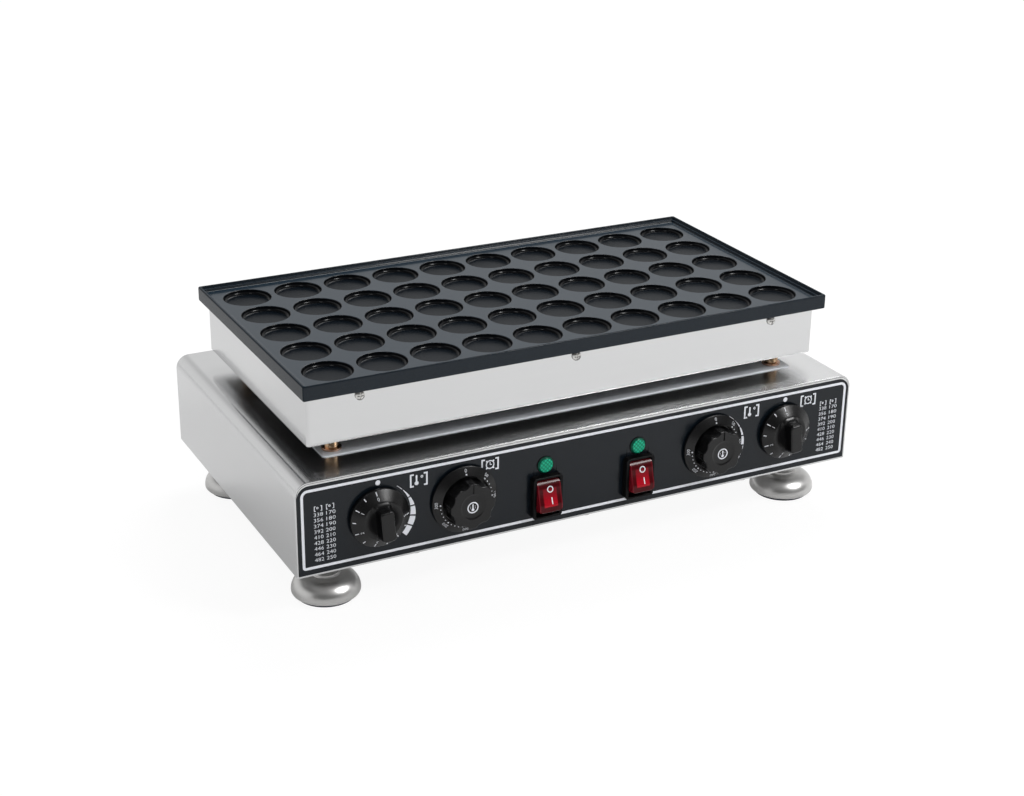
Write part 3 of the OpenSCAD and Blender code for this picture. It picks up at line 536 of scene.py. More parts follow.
def knobFinish(zone):
    # satin black, dull round the foot of the timer bars
    finish = Finish("knobMoulding", IOR=1.06, Coat_IOR=1.38, Coat_Roughness=0.27)
    x, y, z = finish.axes()
    across = abs(x) - zone["x"]
    rise = z - zone["z"]
    hub = (1 - (across * across + rise * rise).over(*zone["fade"])) * (y > zone["front"])
    grit = finish.noise(1100.0, 2.0, 0.55)
    cloud = finish.noise(60.0, 2.0)
    fine = grit * 0.6 + cloud * 0.4
    finish.feed(Base_Color=finish.blend(fine, shade(0.0020, 0.0020, 0.0023), shade(0.0045, 0.0045, 0.0049)),
                Coat_Weight=1 - hub * zone["coatLess"], Roughness=0.4 + grit * 0.1,
                Normal=finish.bump(grit, 0.08, 0.00003))
    return finish


def turnedFinish(name, dark, light, rough, spread, rings=3000.0):
    # lathe rings run round an upright axis
    finish = Finish(name, Metallic=1.0)
    ring = finish.noise(1.0, 3.0, 0.6, (30, 30, rings))
    cloud = finish.noise(45.0, 3.0)
    mix = ring * 0.5 + cloud * 0.5
    finish.feed(Base_Color=finish.blend(mix, shade(*dark), shade(*light)), Roughness=rough + mix * spread,
                Normal=finish.bump(ring, 0.12, 0.00002))
    return finish


rockerZone = {"x": 0.047, "z": 0.0752, "coreWide": (0.0060, 0.0072), "coreTall": (0.0076, 0.0086),
              "rim": (0.0096, 0.0110), "fall": (0.068, 0.083)}


def rockerFinish(zone):
    # clear red moulding with a brighter core behind its face; the core's red darkens towards the upper end,
    # and the side edges of the margin are a lighter red as a painted highlight
    finish = Finish("clearRed", IOR=1.26)
    x, _, z = finish.axes()
    across = abs(abs(x) - zone["x"])
    along = abs(z - zone["z"])
    core = (1 - across.over(*zone["coreWide"])) * (1 - along.over(*zone["coreTall"]))
    rim = across.over(*zone["rim"])
    cloud = finish.noise(260.0, 2.0)
    low = finish.blend(cloud, shade(0.40, 0.003, 0.012), shade(0.47, 0.006, 0.018))
    glow = finish.blend(z.over(*zone["fall"]), low, shade(0.20, 0.002, 0.008))
    # the margin's side edges are a lighter red: painted highlight
    margin = finish.blend(rim, shade(0.062, 0.0010, 0.003), shade(0.15, 0.006, 0.012))
    finish.feed(Base_Color=finish.blend(core, margin, glow), Roughness=0.18 + cloud * 0.05)
    return finish


lensZone = {"x": 0.047, "z": 0.1025, "facets": 820.0, "edge": (0.000036, 0.000046)}


def lensFinish(zone):
    # clear green lens: painted glints in the facet pattern and painted shade on the sloped rim
    finish = Finish("clearGreen", IOR=1.27)
    x, _, z = finish.axes()
    wave = {"operation": "SINE"}
    u = finish.node("ShaderNodeMath", wave, {0: (x + z) * zone["facets"]})
    v = finish.node("ShaderNodeMath", wave, {0: (x - z) * zone["facets"]})
    facetAndGlint = abs(u) * abs(v)
    across = abs(abs(x) - zone["x"])
    rise = abs(z - zone["z"])
    # the sloped rim is a darker green: painted shade
    far = (across * across + rise * rise).over(*zone["edge"])
    # light and dark facets in the colour: painted glints
    face = finish.blend(facetAndGlint, shade(0.002, 0.15, 0.08), shade(0.012, 0.52, 0.30))
    finish.feed(Base_Color=finish.blend(far, face, shade(0.002, 0.07, 0.042)), Roughness=0.16 + facetAndGlint * 0.1,
                Normal=finish.bump(facetAndGlint, 0.35, 0.0002))
    return finish


def woolFinish():
    finish = Finish("mineralWool", Roughness=0.95)
    fibre = finish.noise(60.0, 6.0, 0.75, (1, 3, 6))
    finish.feed(Base_Color=finish.blend(fibre, shade(0.52, 0.46, 0.32), shade(0.86, 0.82, 0.70)),
                Normal=finish.bump(fibre, 0.8, 0.002))
    return finish


bright = steelFinish("brightSheet", (0.618, 0.620, 0.622), (0.574, 0.578, 0.582), 0.09, 0.14, 0.04)
satin = steelFinish("satinCover", (0.605, 0.607, 0.610), (0.560, 0.564, 0.569), 0.18, 0.24, 0.05)
plain = steelFinish("plainSheet", (0.55, 0.55, 0.55), (0.44, 0.44, 0.44), 0.28, 0.42)
# near-black steel for the head floor: painted shade in the space under the head
underHeadShade = steelFinish("headShadeSheet", (0.075, 0.072, 0.07), (0.04, 0.039, 0.038), 0.45, 0.6)
dull = mouldedFinish("dullSheet", (0.66, 0.685, 0.73), (0.74, 0.765, 0.80), 0.52, 300.0, 0.05, Metallic=0.12)
screwSteel = steelFinish("screwSteel", (0.62, 0.615, 0.60), (0.48, 0.475, 0.46), 0.16, 0.3)
footSteel = turnedFinish("polishedBell", (0.48, 0.477, 0.47), (0.60, 0.596, 0.586), 0.27, 0.10)
brass = turnedFinish("turnedBrass", (0.64, 0.41, 0.24), (0.84, 0.59, 0.38), 0.08, 0.07)
bronze = turnedFinish("bronzeWasher", (0.46, 0.28, 0.20), (0.62, 0.42, 0.32), 0.16, 0.12)
copper = turnedFinish("drawnCopper", (0.60, 0.29, 0.18), (0.76, 0.42, 0.27), 0.22, 0.16, 400.0)
heater = turnedFinish("heaterSheath", (0.12, 0.09, 0.075), (0.30, 0.24, 0.20), 0.4, 0.2, 200.0)
spindleSteel = turnedFinish("turnedSteel", (0.52, 0.52, 0.51), (0.66, 0.66, 0.65), 0.2, 0.16)
coat = coatFinish(coatSpec)
wool = woolFinish()
overlayFilm = mouldedFinish("overlayFilm", (0.0025, 0.0050, 0.0082), (0.0040, 0.0070, 0.0108), 0.17,
                            2200.0, 0.03, IOR=1.35)
blackPlastic = mouldedFinish("blackMoulding", (0.0020, 0.0020, 0.0022), (0.0045, 0.0045, 0.005), 0.36,
                             900.0, 0.1, IOR=1.2)
knobPlastic = knobFinish(knobZone)
rubber = mouldedFinish("blackRubber", (0.012, 0.012, 0.013), (0.028, 0.028, 0.03), 0.62, 500.0, 0.3)
padRubber = mouldedFinish("padRubber", (0.009, 0.012, 0.030), (0.017, 0.022, 0.050), 0.5, 500.0, 0.3)
ceramic = mouldedFinish("glazedBlock", (0.70, 0.67, 0.58), (0.84, 0.81, 0.74), 0.2, 120.0, 0.05)
timerCase = mouldedFinish("timerCase", (0.60, 0.57, 0.46), (0.74, 0.71, 0.62), 0.4)
thermostatCase = steelFinish("platedCase", (0.58, 0.58, 0.57), (0.46, 0.46, 0.46), 0.25, 0.4)
printWhite = mouldedFinish("whiteInk", (0.76, 0.78, 0.83), (0.84, 0.86, 0.91), 0.45, 1500.0, 0.04)
clearRed = rockerFinish(rockerZone)
clearGreen = lensFinish(lensZone)

finishOf = {
    "coated_plate": coat, "bright_steel": bright, "plain_steel": plain, "fastener_steel": screwSteel,
    "mineral_wool": wool, "heater_sheath": heater, "copper": copper, "black_rubber": rubber, "brass": brass,
    "bronze_washer": bronze, "printed_overlay": overlayFilm, "black_plastic": blackPlastic,
    "cream_ceramic": ceramic, "timer_case": timerCase, "thermostat_case": thermostatCase,
    "spindle_steel": spindleSteel, "knob_plastic": knobPlastic, "red_plastic": clearRed,
    "green_lens": clearGreen, "foot_steel": footSteel, "foot_rubber": padRubber,
}
for name, solid in nodes.items():
    solid.data.materials.clear()
    solid.data.materials.append(finishOf[slotOf[name]].owner)
# the head floor takes the near-black steel: painted shade in the space under the head
nodes["head_floor"].data.materials[0] = underHeadShade.owner
makeFloor(stageSpec)
makeSky(stageSpec)
makeLamps(lampSpec)
print("finishes, floor and lamps ready:", len(finishOf))

# baking plate: outline rings (inset, height), then fifty wells
plateSpec = {
    "half": (261, 136), "middleY": -0.2, "corner": 1.5, "cornerSteps": 6,
    "rings": [(0.9, 192.0), (0.3, 192.25), (0.0, 192.9), (0.0, 204.3), (0.16, 204.9), (0.55, 205.4),
              (1.15, 205.6), (1.75, 205.6), (2.15, 205.45), (2.4, 205.1), (2.9, 203.6), (3.15, 203.2),
              (3.6, 203.0), (4.3, 202.95), (4.7, 202.8), (4.95, 202.4), (5.3, 201.6), (5.8, 201.1),
              (6.7, 200.86), (8.6, 200.8)],
    "bed": [(0, -4.85), (8, -4.82), (13, -4.75), (16.5, -4.66), (18.2, -4.62)],
    "fillet": ((18.6, -1.25), 3.4, -80, 0, 10),
    "lip": [(22.1, -0.7), (22.2, -0.35), (22.45, -0.1), (22.8, 0)],
    "toolTop": 4, "wellSteps": 56, "rows": 5, "columns": 10, "pitch": 50, "floor": 200.8,
    "stud": [(0, 173.9), (2.4, 173.9), (3, 174.5), (3, 193), (0, 193)],
    "studX": (-175, -75, 75, 175), "studY": (-45, 45),
    "lugX": (-207, 0, 207), "lugY": ((-125, -115), (115, 125)), "lugZ": (178, 192.5),
    "lugHalf": 8, "lugEdge": 1.0,
}


def makePlate(spec):
    halfX, halfY = spec["half"]
    middleY = spec["middleY"]
    inset, low = spec["rings"][0]
    pick()
    bpy.ops.mesh.primitive_plane_add(size=1, location=(0, middleY * mm, low * mm))
    piece = bpy.context.object
    piece.scale = (2 * (halfX - inset) * mm, 2 * (halfY - inset) * mm, 1)
    piece = started("cookPlate")
    bpy.ops.object.mode_set(mode="EDIT")
    bpy.ops.mesh.select_all(action="SELECT")
    bpy.ops.mesh.bevel(offset=spec["corner"] * mm, segments=spec["cornerSteps"], affect="VERTICES")
    bpy.ops.mesh.select_all(action="SELECT")
    middle = (0, middleY * mm, 0)
    for (oldInset, oldZ), (newInset, newZ) in zip(spec["rings"], spec["rings"][1:]):
        bpy.ops.mesh.extrude_region_move(TRANSFORM_OT_translate={"value": (0, 0, (newZ - oldZ) * mm)})
        grow = ((halfX - newInset) / (halfX - oldInset), (halfY - newInset) / (halfY - oldInset), 1)
        bpy.ops.transform.resize(value=grow, center_override=middle)
    bpy.ops.mesh.select_all(action="SELECT")
    bpy.ops.mesh.normals_make_consistent(inside=False)
    bpy.ops.object.mode_set(mode="OBJECT")

    # one well, turned, then repeated over the pitch
    rim, top = spec["lip"][-1][0], spec["toolTop"]
    outline = spec["bed"] + arc(*spec["fillet"]) + spec["lip"] + [(rim, top), (0, top)]
    first = turned("wellTool", outline, spec["wellSteps"])
    wells = []
    for row in range(spec["rows"]):
        for column in range(spec["columns"]):
            x = (column - (spec["columns"] - 1) / 2) * spec["pitch"]
            y = (row - (spec["rows"] - 1) / 2) * spec["pitch"] + middleY
            wells.append(twin(first, "wellTool", (x, y, spec["floor"])))
    bpy.data.objects.remove(first)
    cutAway(piece, joined("wellTools", wells))

    # studs and screw lugs under the plate
    first = turned("plateStud", spec["stud"], 20)
    extra = [twin(first, "plateStud", (x, y + middleY, 0)) for x in spec["studX"] for y in spec["studY"]]
    bpy.data.objects.remove(first)
    half = spec["lugHalf"]
    lugLow, lugHigh = spec["lugZ"]
    for x in spec["lugX"]:
        for front, back in spec["lugY"]:
            lug = block("screwLug", (x - half, front + middleY, lugLow), (x + half, back + middleY, lugHigh))
            extra.append(rounded(lug, spec["lugEdge"], 2))
    piece = joined("cookPlate", extra + [piece])
    done(piece, coat, "base", "coated_plate", "baking_plate", angle=38)
    print("plate:", len(piece.data.polygons), "faces")


makePlate(plateSpec)

# knobs, modelled lying on their backs and then stood on the panel
knobSpec = {
    "baseY": -160.3, "z": 87.0, "timerX": 206.0, "thermostatX": 126.5, "turnSteps": 96,
    "timerSkirt": [(0, 5), (11, 5), (11, 0), (26.0, 0), (26.7, 0.25), (27, 0.9), (27, 3.1), (26.75, 3.75),
                   (26.2, 4.2), (23.5, 5.95), (20.6, 7.95), (18.2, 9.5), (17.6, 9.85), (17.1, 10.0),
                   (0, 10.0)],
    "bar": (12.6, 28.4, 3.0), "barShift": -0.9, "barLean": 4.7, "barPoints": 72, "hubRadius": 17.2,
    "flare": [(9.6, -6.5), (10.0, -5.6), (10.25, -4.4), (10.8, -3.0), (11.8, -1.8), (13.4, -1.0),
              (15.5, -0.45), (18, -0.1), (20.3, 0.15), (21.1, 0.4), (21.6, 0.85), (21.9, 1.4), (22.0, 2.1)],
    "ring": [(0, 5), (11, 5), (11, 0), (30.1, 0), (30.75, 0.25), (31, 0.9), (31, 1.7), (30.8, 2.2),
             (30.3, 2.55), (26.4, 4.3), (23.5, 5.6), (22.95, 5.75), (22.55, 5.6), (22.35, 5.2),
             (22.3, 1.4), (13, 1.4), (13, 6), (0, 6)],
    "gripRadius": 21.0, "gripLow": 1.2, "gripTop": 19.0, "gripEdge": 0.9,
    "flutes": 8, "fluteRadius": 9.0, "fluteDeep": 2.0, "flutePoints": 48,
    "dish": [(0, -1.1), (4, -1.06), (8, -0.95), (10, -0.78), (11.1, -0.45), (11.8, -0.14), (12.5, 0)],
    "dishSteps": 72, "dishOver": 3,
    "notchHalf": 0.7, "notchY": (12.6, 24), "notchDeep": 1.1, "notchOver": 2, "notchEdge": 0.3,
}


def barReach(bearing, wide, long, corner):
    # how far a round-cornered bar reaches from its middle in one direction
    ux, uy = abs(math.cos(bearing)), abs(math.sin(bearing))
    inX, inY = wide / 2 - corner, long / 2 - corner
    if wide / 2 * uy <= inY * ux:
        return wide / 2 / ux
    if long / 2 * ux <= inX * uy:
        return long / 2 / uy
    along = ux * inX + uy * inY
    return along + math.sqrt(along ** 2 - inX ** 2 - inY ** 2 + corner ** 2)


def makeTimerKnob(spec):
    skirt = turned("timerKnob", spec["timerSkirt"], spec["turnSteps"])
    # the bar's outline spreads a little at its foot and draws in over its top edge
    step = 360 / spec["barPoints"]
    rings = []
    for height, inset in spec["flare"]:
        ring = []
        for i in range(spec["barPoints"]):
            bearing = math.radians(step * i)
            reach = barReach(bearing, *spec["bar"]) - inset
            spot = Vector((reach * math.cos(bearing), reach * math.sin(bearing) + spec["barShift"], 0))
            spot *= min(1, spec["hubRadius"] / spot.length)
            ring.append((spot.x, spot.y, height))
        rings.append(ring)
    bar = skinned("timerBar", rings)
    bar.rotation_euler = (0, 0, math.radians(spec["barLean"]))
    return joined("timerKnob", [applied(bar), skirt])


def makeThermostatKnob(spec):
    ring = turned("thermostatKnob", spec["ring"], spec["turnSteps"])
    outline = []
    middle = spec["gripRadius"] + spec["fluteRadius"] - spec["fluteDeep"]
    step, count = 360 / spec["flutes"], spec["flutePoints"]
    for number in range(spec["flutes"]):
        start = 90 + number * step
        for i in range(count):
            bearing = math.radians(start + step * i / count)
            off = math.radians(start + step / 2) - bearing
            inside = spec["fluteRadius"] ** 2 - (middle * math.sin(off)) ** 2
            reach = spec["gripRadius"]
            if inside > 0:
                reach = min(reach, middle * math.cos(off) - math.sqrt(inside))
            outline.append((reach * math.cos(bearing), reach * math.sin(bearing)))
    grip = cutOut("thermostatGrip", outline, spec["gripLow"], spec["gripTop"])
    rounded(grip, spec["gripEdge"], 4, 60)
    # shallow dish in the face, and the pointer's notch above it
    top = spec["gripTop"]
    dish = [(radius, top + drop) for radius, drop in spec["dish"]]
    over = top + spec["dishOver"]
    dish += [(dish[-1][0], over), (0, over)]
    cutAway(grip, turned("dishTool", dish, spec["dishSteps"]))
    half = spec["notchHalf"]
    near, far = spec["notchY"]
    notch = block("notchTool", (-half, near, top - spec["notchDeep"]), (half, far, top + spec["notchOver"]))
    cutAway(grip, rounded(notch, spec["notchEdge"], 2))
    return joined("thermostatKnob", [grip, ring])


def dialMark(piece, bearing, radius, lift, cone):
    # a mark on a dial's cone, its top pointing outwards
    slope = cone["slope"]
    height = cone["foot"] + (cone["reach"] - radius) * cone["rise"] + lift
    spot = (radius * math.sin(bearing), radius * math.cos(bearing), height)
    out = (math.sin(bearing) * math.cos(slope), math.cos(bearing) * math.cos(slope), -math.sin(slope))
    return laid(piece, spot, (math.cos(bearing), -math.sin(bearing), 0), out)


def tick(wide, long, thick=inkThick):
    low, high = (-wide / 2, -long / 2, -thick / 2), (wide / 2, long / 2, thick / 2)
    return rounded(block("tick", low, high), wide * 0.3, 2)


def dot(radius, thick=inkThick):
    inner, half = radius * 0.9, thick / 2
    return turned("dot", [(0, -half), (inner, -half), (radius, 0), (inner, half), (0, half)], 24)


def loop(outer, inner, thick=inkThick):
    half = thick / 2
    return turned("loop", [(inner, -half), (outer, -half), (outer, half), (inner, half), (inner, -half)], 40)


def thermometer(tall, thick=inkThick):
    # bulb and stem in one outline
    bulb, stem = tall * 0.2, tall * 0.085
    points = arc((0, -tall * 0.3), bulb, 112, 428, 14) + arc((0, tall * 0.5 - stem), stem, 0, 180, 6)
    return cutOut("thermometer", points, -thick / 2, thick / 2)


# dial marks: sizes, the radius they stand at and how far they lie above the cone
markSpec = {
    "timerCone": {"reach": 26.2, "foot": 4.2, "rise": 0.665, "slope": math.atan2(3.75, 5.6)},
    "timerZero": 9.5, "timerStep": 26.0, "timerTicks": 11, "tickLift": 0.06,
    "longTick": (0.8, 3.6), "longRing": 24.3, "shortTick": (0.8, 3.0), "shortRing": 24.6,
    "timerTall": 3.2, "timerRing": 20.2, "timerLift": 0.1,
    "heatCone": {"reach": 30.3, "foot": 2.55, "rise": 0.45, "slope": math.atan2(3.2, 7.1)},
    "heatStep": 45, "heatNumbers": 6, "heatPerStep": 50, "heatTall": 3.1, "heatLift": 0.14, "heatRing": 27.7,
    "zeroTall": 3.4, "zeroLift": 0.12, "zeroDot": 0.75,
    "dotsPerStep": 5, "bigDot": 0.7, "smallDot": 0.5, "dotRing": 24.6, "dotLift": 0.08,
    "iconThick": 0.16, "iconDrop": 1.0, "iconLift": 0.1, "iconRing": (5.25, 4.25), "iconRingLift": 0.12,
    "iconTall": 6.6, "iconTick": (0.9, 0.45), "iconTickX": 2.3, "iconTickY": (1.1, -0.6),
}


def makeTimerMarks(spec):
    marks = []
    cone = spec["timerCone"]
    for number in range(spec["timerTicks"]):
        bearing = -math.radians(spec["timerZero"] + spec["timerStep"] * number)
        kind = "short" if number % 2 else "long"
        mark = tick(*spec[kind + "Tick"])
        marks.append(dialMark(mark, bearing, spec[kind + "Ring"], spec["tickLift"], cone))
        if kind == "long":
            text = digits(str(number // 2), spec["timerTall"])
            marks.append(dialMark(text, bearing, spec["timerRing"], spec["timerLift"], cone))
    return joined("timerMarks", marks)


def makeThermostatMarks(spec, face):
    cone, step, parts = spec["heatCone"], spec["heatStep"], spec["dotsPerStep"]
    marks = [dialMark(digits("0", spec["zeroTall"]), 0, spec["heatRing"], spec["zeroLift"], cone),
             dialMark(dot(spec["zeroDot"]), 0, spec["dotRing"], spec["dotLift"], cone)]
    for number in range(1, spec["heatNumbers"] + 1):
        text = digits(str(spec["heatPerStep"] * number), spec["heatTall"])
        marks.append(dialMark(text, math.radians(step * number), spec["heatRing"], spec["heatLift"], cone))
    for part in range((spec["heatNumbers"] - 1) * parts + 1):
        radius = spec["smallDot"] if part % parts else spec["bigDot"]
        bearing = math.radians(step + step / parts * part)
        marks.append(dialMark(dot(radius), bearing, spec["dotRing"], spec["dotLift"], cone))
    # ring and thermometer in the dish
    thick, drop, level = spec["iconThick"], -spec["iconDrop"], face + spec["iconLift"]
    marks.append(laid(loop(*spec["iconRing"], thick), (0, drop, face + spec["iconRingLift"])))
    marks.append(laid(thermometer(spec["iconTall"], thick), (0, drop, level)))
    for y in spec["iconTickY"]:
        for sign in (-1, 1):
            marks.append(laid(tick(*spec["iconTick"], thick), (sign * spec["iconTickX"], y + drop, level)))
    return joined("thermostatMarks", marks)


def makeKnobs(spec):
    timer, thermostat = makeTimerKnob(spec), makeThermostatKnob(spec)
    face = spec["gripTop"] + spec["dish"][0][1]
    timerMarks, thermostatMarks = makeTimerMarks(markSpec), makeThermostatMarks(markSpec, face)
    for side, sign in sides.items():
        word = side.capitalize()
        for kind, model, marks, x in (("timer", timer, timerMarks, spec["timerX"]),
                                      ("thermostat", thermostat, thermostatMarks, spec["thermostatX"])):
            spot = (sign * x, spec["baseY"], spec["z"])
            body = kind + "_dial_" + side
            knob = stood(twin(model, kind + "Knob" + word), spot)
            done(knob, knobPlastic, body, "knob_plastic", kind + "_knob_" + side, angle=32)
            ink = stood(twin(marks, kind + "Marks" + word), spot)
            done(ink, printWhite, body, "knob_plastic")
    for model in (timer, thermostat, timerMarks, thermostatMarks):
        bpy.data.objects.remove(model)
    print("knobs and their marks made")


makeKnobs(knobSpec)

# rockers in their bezels, with a ring above and a bar below
switchSpec = {
    "x": 47, "z": 73.5, "pivotY": -158.3, "tilt": -15, "half": 15, "low": 2.0, "draft": 0.6, "root": 3.0,
    "wide": 22.5, "corner": 3.4, "edge": 0.8, "toolLow": -6, "toolHigh": 16,
    "face": [(-15, 10.1), (-14.6, 10.8), (-8.8, 12.4), (-7.6, 12.42), (-4, 12.04), (0, 11.9), (4, 12.02),
             (6, 12.16), (7.4, 12.2), (8.8, 12.12), (10.2, 11.9), (11.6, 11.5), (12.8, 10.95),
             (13.8, 10.3), (14.6, 9.6), (15, 9.0)],
    "ring": (3.05, 2.15), "ringSpot": (0.5, 6.0, 12.27), "ringUp": (0, 1, 0.03),
    "bar": (1.0, 6.2), "barSpot": (1.4, -4.6, 12.18), "barUp": (0, 1, -0.09), "thick": 0.16,
    "pin": [(0, -12.7), (1.3, -12.7), (1.5, -12.5), (1.5, 12.5), (1.3, 12.7), (0, 12.7)],
}


def makeRockers(spec):
    half = spec["half"]
    back = [(half - spec["draft"], spec["low"]), (half / 3, -spec["root"]), (-half / 3, -spec["root"]),
            (spec["draft"] - half, spec["low"])]
    rocker = cutOut("rocker", spec["face"] + back, -spec["wide"] / 2, spec["wide"] / 2)
    # the outline lies in x and y, the width in z: turn it to width in x, height in y, face up
    rocker.matrix_world = Matrix(((0, 0, 1, 0), (1, 0, 0, 0), (0, 1, 0, 0), (0, 0, 0, 1)))
    applied(rocker)
    outline = roundBox(spec["wide"], 2 * half, spec["corner"], 6)
    cutAway(rocker, cutOut("cornerTool", outline, spec["toolLow"], spec["toolHigh"]), "INTERSECT")
    rounded(rocker, spec["edge"], 3, 30)
    thick = spec["thick"]
    marks = joined("rockerMarks", [
        laid(loop(*spec["ring"], thick), spec["ringSpot"], up=spec["ringUp"]),
        laid(tick(*spec["bar"], thick), spec["barSpot"], up=spec["barUp"]),
    ])
    pin = turned("rockerPin", spec["pin"], 24)
    pin.rotation_euler = (0, math.pi / 2, 0)
    rocker = joined("rocker", [applied(pin), rocker])
    for side, sign in sides.items():
        word = side.capitalize()
        spot = (sign * spec["x"], spec["pivotY"], spec["z"])
        paddle = stood(twin(rocker, "rocker" + word), spot, spec["tilt"])
        done(paddle, clearRed, "power_rocker_" + side, "red_plastic", "rocker_" + side, angle=32)
        ink = stood(twin(marks, "rockerMarks" + word), spot, spec["tilt"])
        done(ink, printWhite, "power_rocker_" + side, "red_plastic")
        dressed("switch_" + side, "switchBezel" + word, blackPlastic, 0.5, 3)
    bpy.data.objects.remove(rocker)
    bpy.data.objects.remove(marks)
    print("rockers made")


makeRockers(switchSpec)

# lamps: low wide lens on a thin black ring
lampPiece = {
    "x": 47, "z": 102.5, "flangeY": -159.9,
    "lens": [(0, -2.9), (5.4, -2.9), (5.4, 0), (7.7, 0), (7.75, 0.3), (7.55, 0.65), (6.45, 1.75),
             (6.05, 2.02), (5.4, 2.12), (3.0, 2.19), (0, 2.2)],
}


def makeLampPieces(spec):
    for side, sign in sides.items():
        word = side.capitalize()
        spot = (sign * spec["x"], spec["flangeY"], spec["z"])
        lens = stood(turned("lampLens" + word, spec["lens"], 48), spot)
        done(lens, clearGreen, "base", "green_lens", "lamp_lens_" + side)
        dressed("lamp_" + side, "lampBody" + word, blackPlastic, 0.2, 2)
    print("lamps made")


makeLampPieces(lampPiece)

# print on the overlay
printSpec = {
    "faceY": -159.3, "thick": 0.12, "half": 275.2, "bottom": 50.2, "top": 124.1, "line": 2.4,
    "corner": 6.5, "lowerCorner": 3.0, "cornerSteps": 8,
    "dot": (206.0, 117.9, 2.3), "dialZ": 87.0, "fans": [(-206.0, 29.7), (126.5, 31.0)],
    "fanEdges": [35.4, 50.2, 68.9, 85.7, 102.2, 118.5, 136.0], "fanGap": 2.5, "fanSteps": 8,
    "fanFrom": 40, "fanSpan": 70, "fanNarrow": 0.4, "fanWiden": 5,
    "gauges": [(-168.4, 113.0, 15.0), (168.75, 113.0, 15.0)], "gaugeTall": 12.2,
    "clocks": [(-101.0, 113.5, 15.4), (232.2, 112.7, 16.0)], "clockTall": 11.5,
    "tables": [(-259.9, -249.2, 105.5, 99.8, 5.26), (250.0, 261.4, 106.0, 100.6, 5.31)],
    "rows": 9, "leftNumbers": (338, 18), "rightNumbers": (170, 10), "numberTall": 3.6, "numberWide": 8.3,
    "headGap": 6.6, "headTall": 4.8, "headRing": (1.0, 0.5), "headShift": 0.6,
}
signSpec = {
    "stemTall": 9.4, "stemX": -2.1, "degree": (1.2, 0.6), "degreeX": 2.9, "degreeZ": 2.6,
    "clockRing": (4.1, 3.2), "longHand": (0.7, 2.7), "longZ": 1.1,
    "shortHand": (0.7, 2.0), "shortX": 0.8, "shortZ": -0.1, "stub": 0.85, "stubX": 3.2, "stubZ": 3.3,
}


def bracket(wide, tall, line, sign, thick):
    # one square bracket, open to the right for sign 1
    x = -sign * wide / 2
    points = [(x, -tall / 2), (x + sign * wide, -tall / 2), (x + sign * wide, -tall / 2 + line),
              (x + sign * line, -tall / 2 + line), (x + sign * line, tall / 2 - line),
              (x + sign * wide, tall / 2 - line), (x + sign * wide, tall / 2), (x, tall / 2)]
    return cutOut("bracket", points, -thick / 2, thick / 2)


def bracketed(x, z, gap, tall, inside, thick):
    arm, line = tall * 0.29, tall * 0.12
    marks = [laid(bracket(arm, tall, line, 1, thick), (x - gap / 2 + arm / 2 - line / 2, z, 0)),
             laid(bracket(arm, tall, line, -1, thick), (x + gap / 2 - arm / 2 + line / 2, z, 0))]
    return marks + inside


def fanPart(spec, middle, inner, start, end):
    # one step of a crescent that widens clockwise
    thick, count = spec["thick"], spec["fanSteps"]
    inside, outside = [], []
    for i in range(count + 1):
        bearing = start + (end - start) * i / count
        share = min(max((bearing - spec["fanFrom"]) / spec["fanSpan"], 0), 1)
        wide = spec["fanNarrow"] + spec["fanWiden"] * share * share * (3 - 2 * share)
        way = Vector((math.sin(math.radians(bearing)), math.cos(math.radians(bearing))))
        inside.append(tuple(Vector(middle) + way * inner))
        outside.append(tuple(Vector(middle) + way * (inner + wide)))
    return cutOut("fanPart", inside + outside[::-1], -thick / 2, thick / 2)


def gaugeSign(spec, x, z, thick):
    stem = laid(thermometer(spec["stemTall"], thick), (x + spec["stemX"], z, 0))
    return [stem, laid(loop(*spec["degree"], thick), (x + spec["degreeX"], z + spec["degreeZ"], 0))]


def clockSign(spec, x, z, thick):
    # ring, two hands and four stubs
    sign = [laid(loop(*spec["clockRing"], thick), (x, z, 0)),
            laid(tick(*spec["longHand"], thick), (x, z + spec["longZ"], 0)),
            laid(tick(*spec["shortHand"], thick), (x + spec["shortX"], z + spec["shortZ"], 0),
                 (0, -1, 0), (1, 0, 0))]
    for a in (-1, 1):
        for b in (-1, 1):
            sign.append(laid(dot(spec["stub"], thick), (x + a * spec["stubX"], z + b * spec["stubZ"], 0)))
    return sign


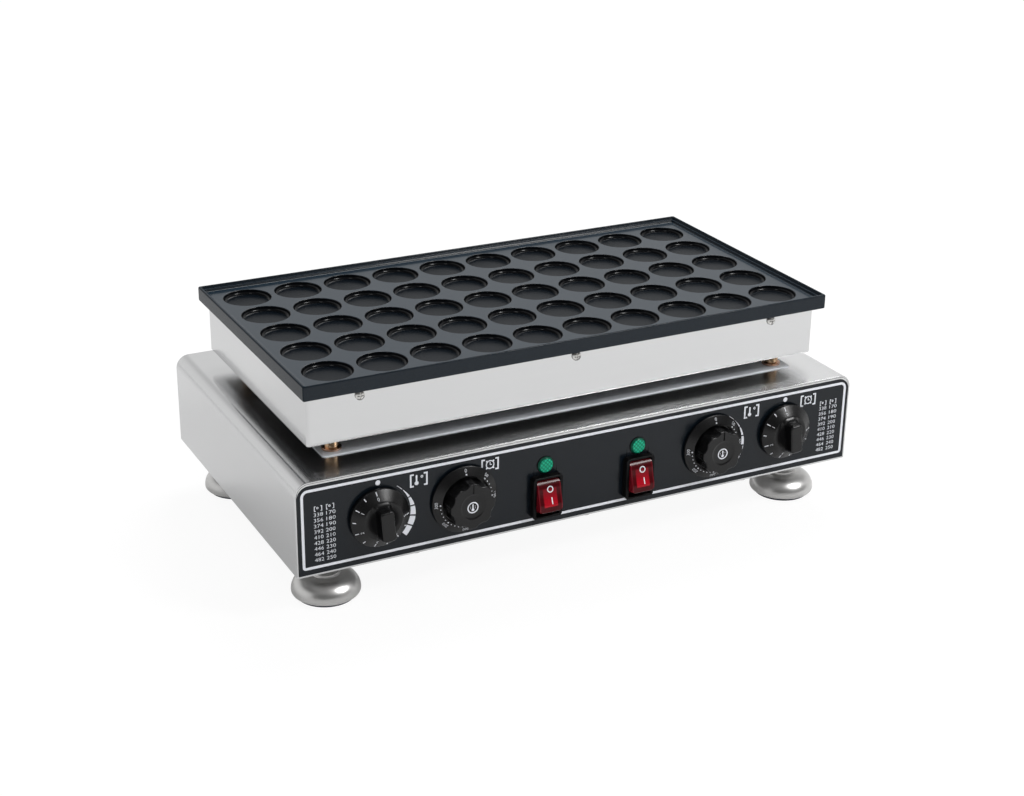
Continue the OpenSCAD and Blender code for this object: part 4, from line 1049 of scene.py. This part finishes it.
def makePrint(spec):
    thick, line, steps = spec["thick"], spec["line"], spec["cornerSteps"]
    wide, tall = 2 * spec["half"], spec["top"] - spec["bottom"]
    middle = (0, (spec["top"] + spec["bottom"]) / 2)
    corner, lower = spec["corner"], spec["lowerCorner"]
    border = roundBox(wide, tall, corner, steps, middle, lower)
    frameLine = cutOut("borderLine", border, -thick / 2, thick / 2)
    hollow = roundBox(wide - 2 * line, tall - 2 * line, corner - line, steps, middle, lower - line)
    marks = [cutAway(frameLine, cutOut("borderTool", hollow, -1, 1))]
    dotX, dotZ, dotRadius = spec["dot"]
    for sign in (-1, 1):
        marks.append(laid(dot(dotRadius, thick), (sign * dotX, dotZ, 0)))
    for x, inner in spec["fans"]:
        for start, end in zip(spec["fanEdges"], spec["fanEdges"][1:]):
            marks.append(fanPart(spec, (x, spec["dialZ"]), inner, start, end - spec["fanGap"]))
    # small signs in brackets: thermometer and clock
    for x, z, gap in spec["gauges"]:
        marks += bracketed(x, z, gap, spec["gaugeTall"], gaugeSign(signSpec, x, z, thick), thick)
    for x, z, gap in spec["clocks"]:
        marks += bracketed(x, z, gap, spec["clockTall"], clockSign(signSpec, x, z, thick), thick)
    # two columns of plain numbers at each end, with a small ring in brackets over each
    shift = spec["headShift"]
    for left, right, headZ, firstZ, step in spec["tables"]:
        for x, (first, more) in ((left, spec["leftNumbers"]), (right, spec["rightNumbers"])):
            head = [laid(loop(*spec["headRing"], thick), (x - shift, headZ + shift, 0))]
            marks += bracketed(x, headZ, spec["headGap"], spec["headTall"], head, thick)
            for row in range(spec["rows"]):
                text = digits(str(first + more * row), spec["numberTall"], thick, wide=spec["numberWide"])
                marks.append(laid(text, (x, firstZ - row * step, 0)))
    ink = joined("panelPrint", marks)
    # the marks were laid out in x and z of the panel
    stood(ink, (0, spec["faceY"] - thick / 2, 0))
    done(ink, printWhite, "base", "printed_overlay")
    print("panel print:", len(ink.data.polygons), "faces")


makePrint(printSpec)

# feet: bell, neck and rod in one turning
footSpec = {
    "x": 239, "y": 117, "middleY": -0.2, "steps": 72, "padEdge": 0.4,
    "rim": [(12, 6.6), (12, 1.6), (25.2, 1.6), (25.5, 2.2)], "curl": ((27.2, 6.0), 3.4, -90, 0, 8),
    "dome": ((16.6, 0), 14.0, 4, 84, 16), "domeLow": 6.0, "domeStretch": 1.043,
    "neck": [(14.2, 20.72), (13.1, 20.85), (12.75, 21.2), (12.6, 21.7), (12.6, 22.9), (12.35, 23.4),
             (11.8, 23.6), (9.6, 23.7), (8.5, 24.0), (8.0, 24.7)],
    "rod": [(8.0, 41.2), (7.6, 41.8), (5, 41.8), (5, 62.8), (4.4, 63.5), (0, 63.5)],
}


def makeFeet(spec):
    dome = [(reach, spec["domeLow"] + rise * spec["domeStretch"]) for reach, rise in arc(*spec["dome"])]
    outline = spec["rim"] + arc(*spec["curl"]) + dome + spec["neck"] + spec["rod"]
    bell = turned("foot", outline, spec["steps"])
    for row, y in (("front", -1), ("back", 1)):
        for side, sign in sides.items():
            spot = (sign * spec["x"], y * spec["y"] + spec["middleY"], 0)
            name = row + "_" + side
            word = row.capitalize() + side.capitalize()
            foot = twin(bell, "foot" + word, spot)
            done(foot, footSteel, "level_foot_" + name, "foot_steel", "foot_" + name, angle=40)
            dressed("foot_pad_" + name, "pad" + word, padRubber, spec["padEdge"], 2)
    bpy.data.objects.remove(bell)
    print("feet made")


makeFeet(footSpec)

# sheet pieces and small metal with broken edges
for node, name, finish, edge in (
        ("plate_skirt", "skirtSheet", bright, 0.35), ("housing_cover", "coverSheet", satin, 0.4),
        ("heat_shield", "shieldSheet", dull, 0.3), ("post_washers", "postWashers", bronze, 0.45),
        ("skirt_screws", "skirtScrews", screwSteel, 0.18),
        ("control_overlay", "overlaySheet", overlayFilm, 0.12),
        ("cable_gland", "cableGland", blackPlastic, 0.5)):
    dressed(node, name, finish, edge)
print("sheet pieces dressed")
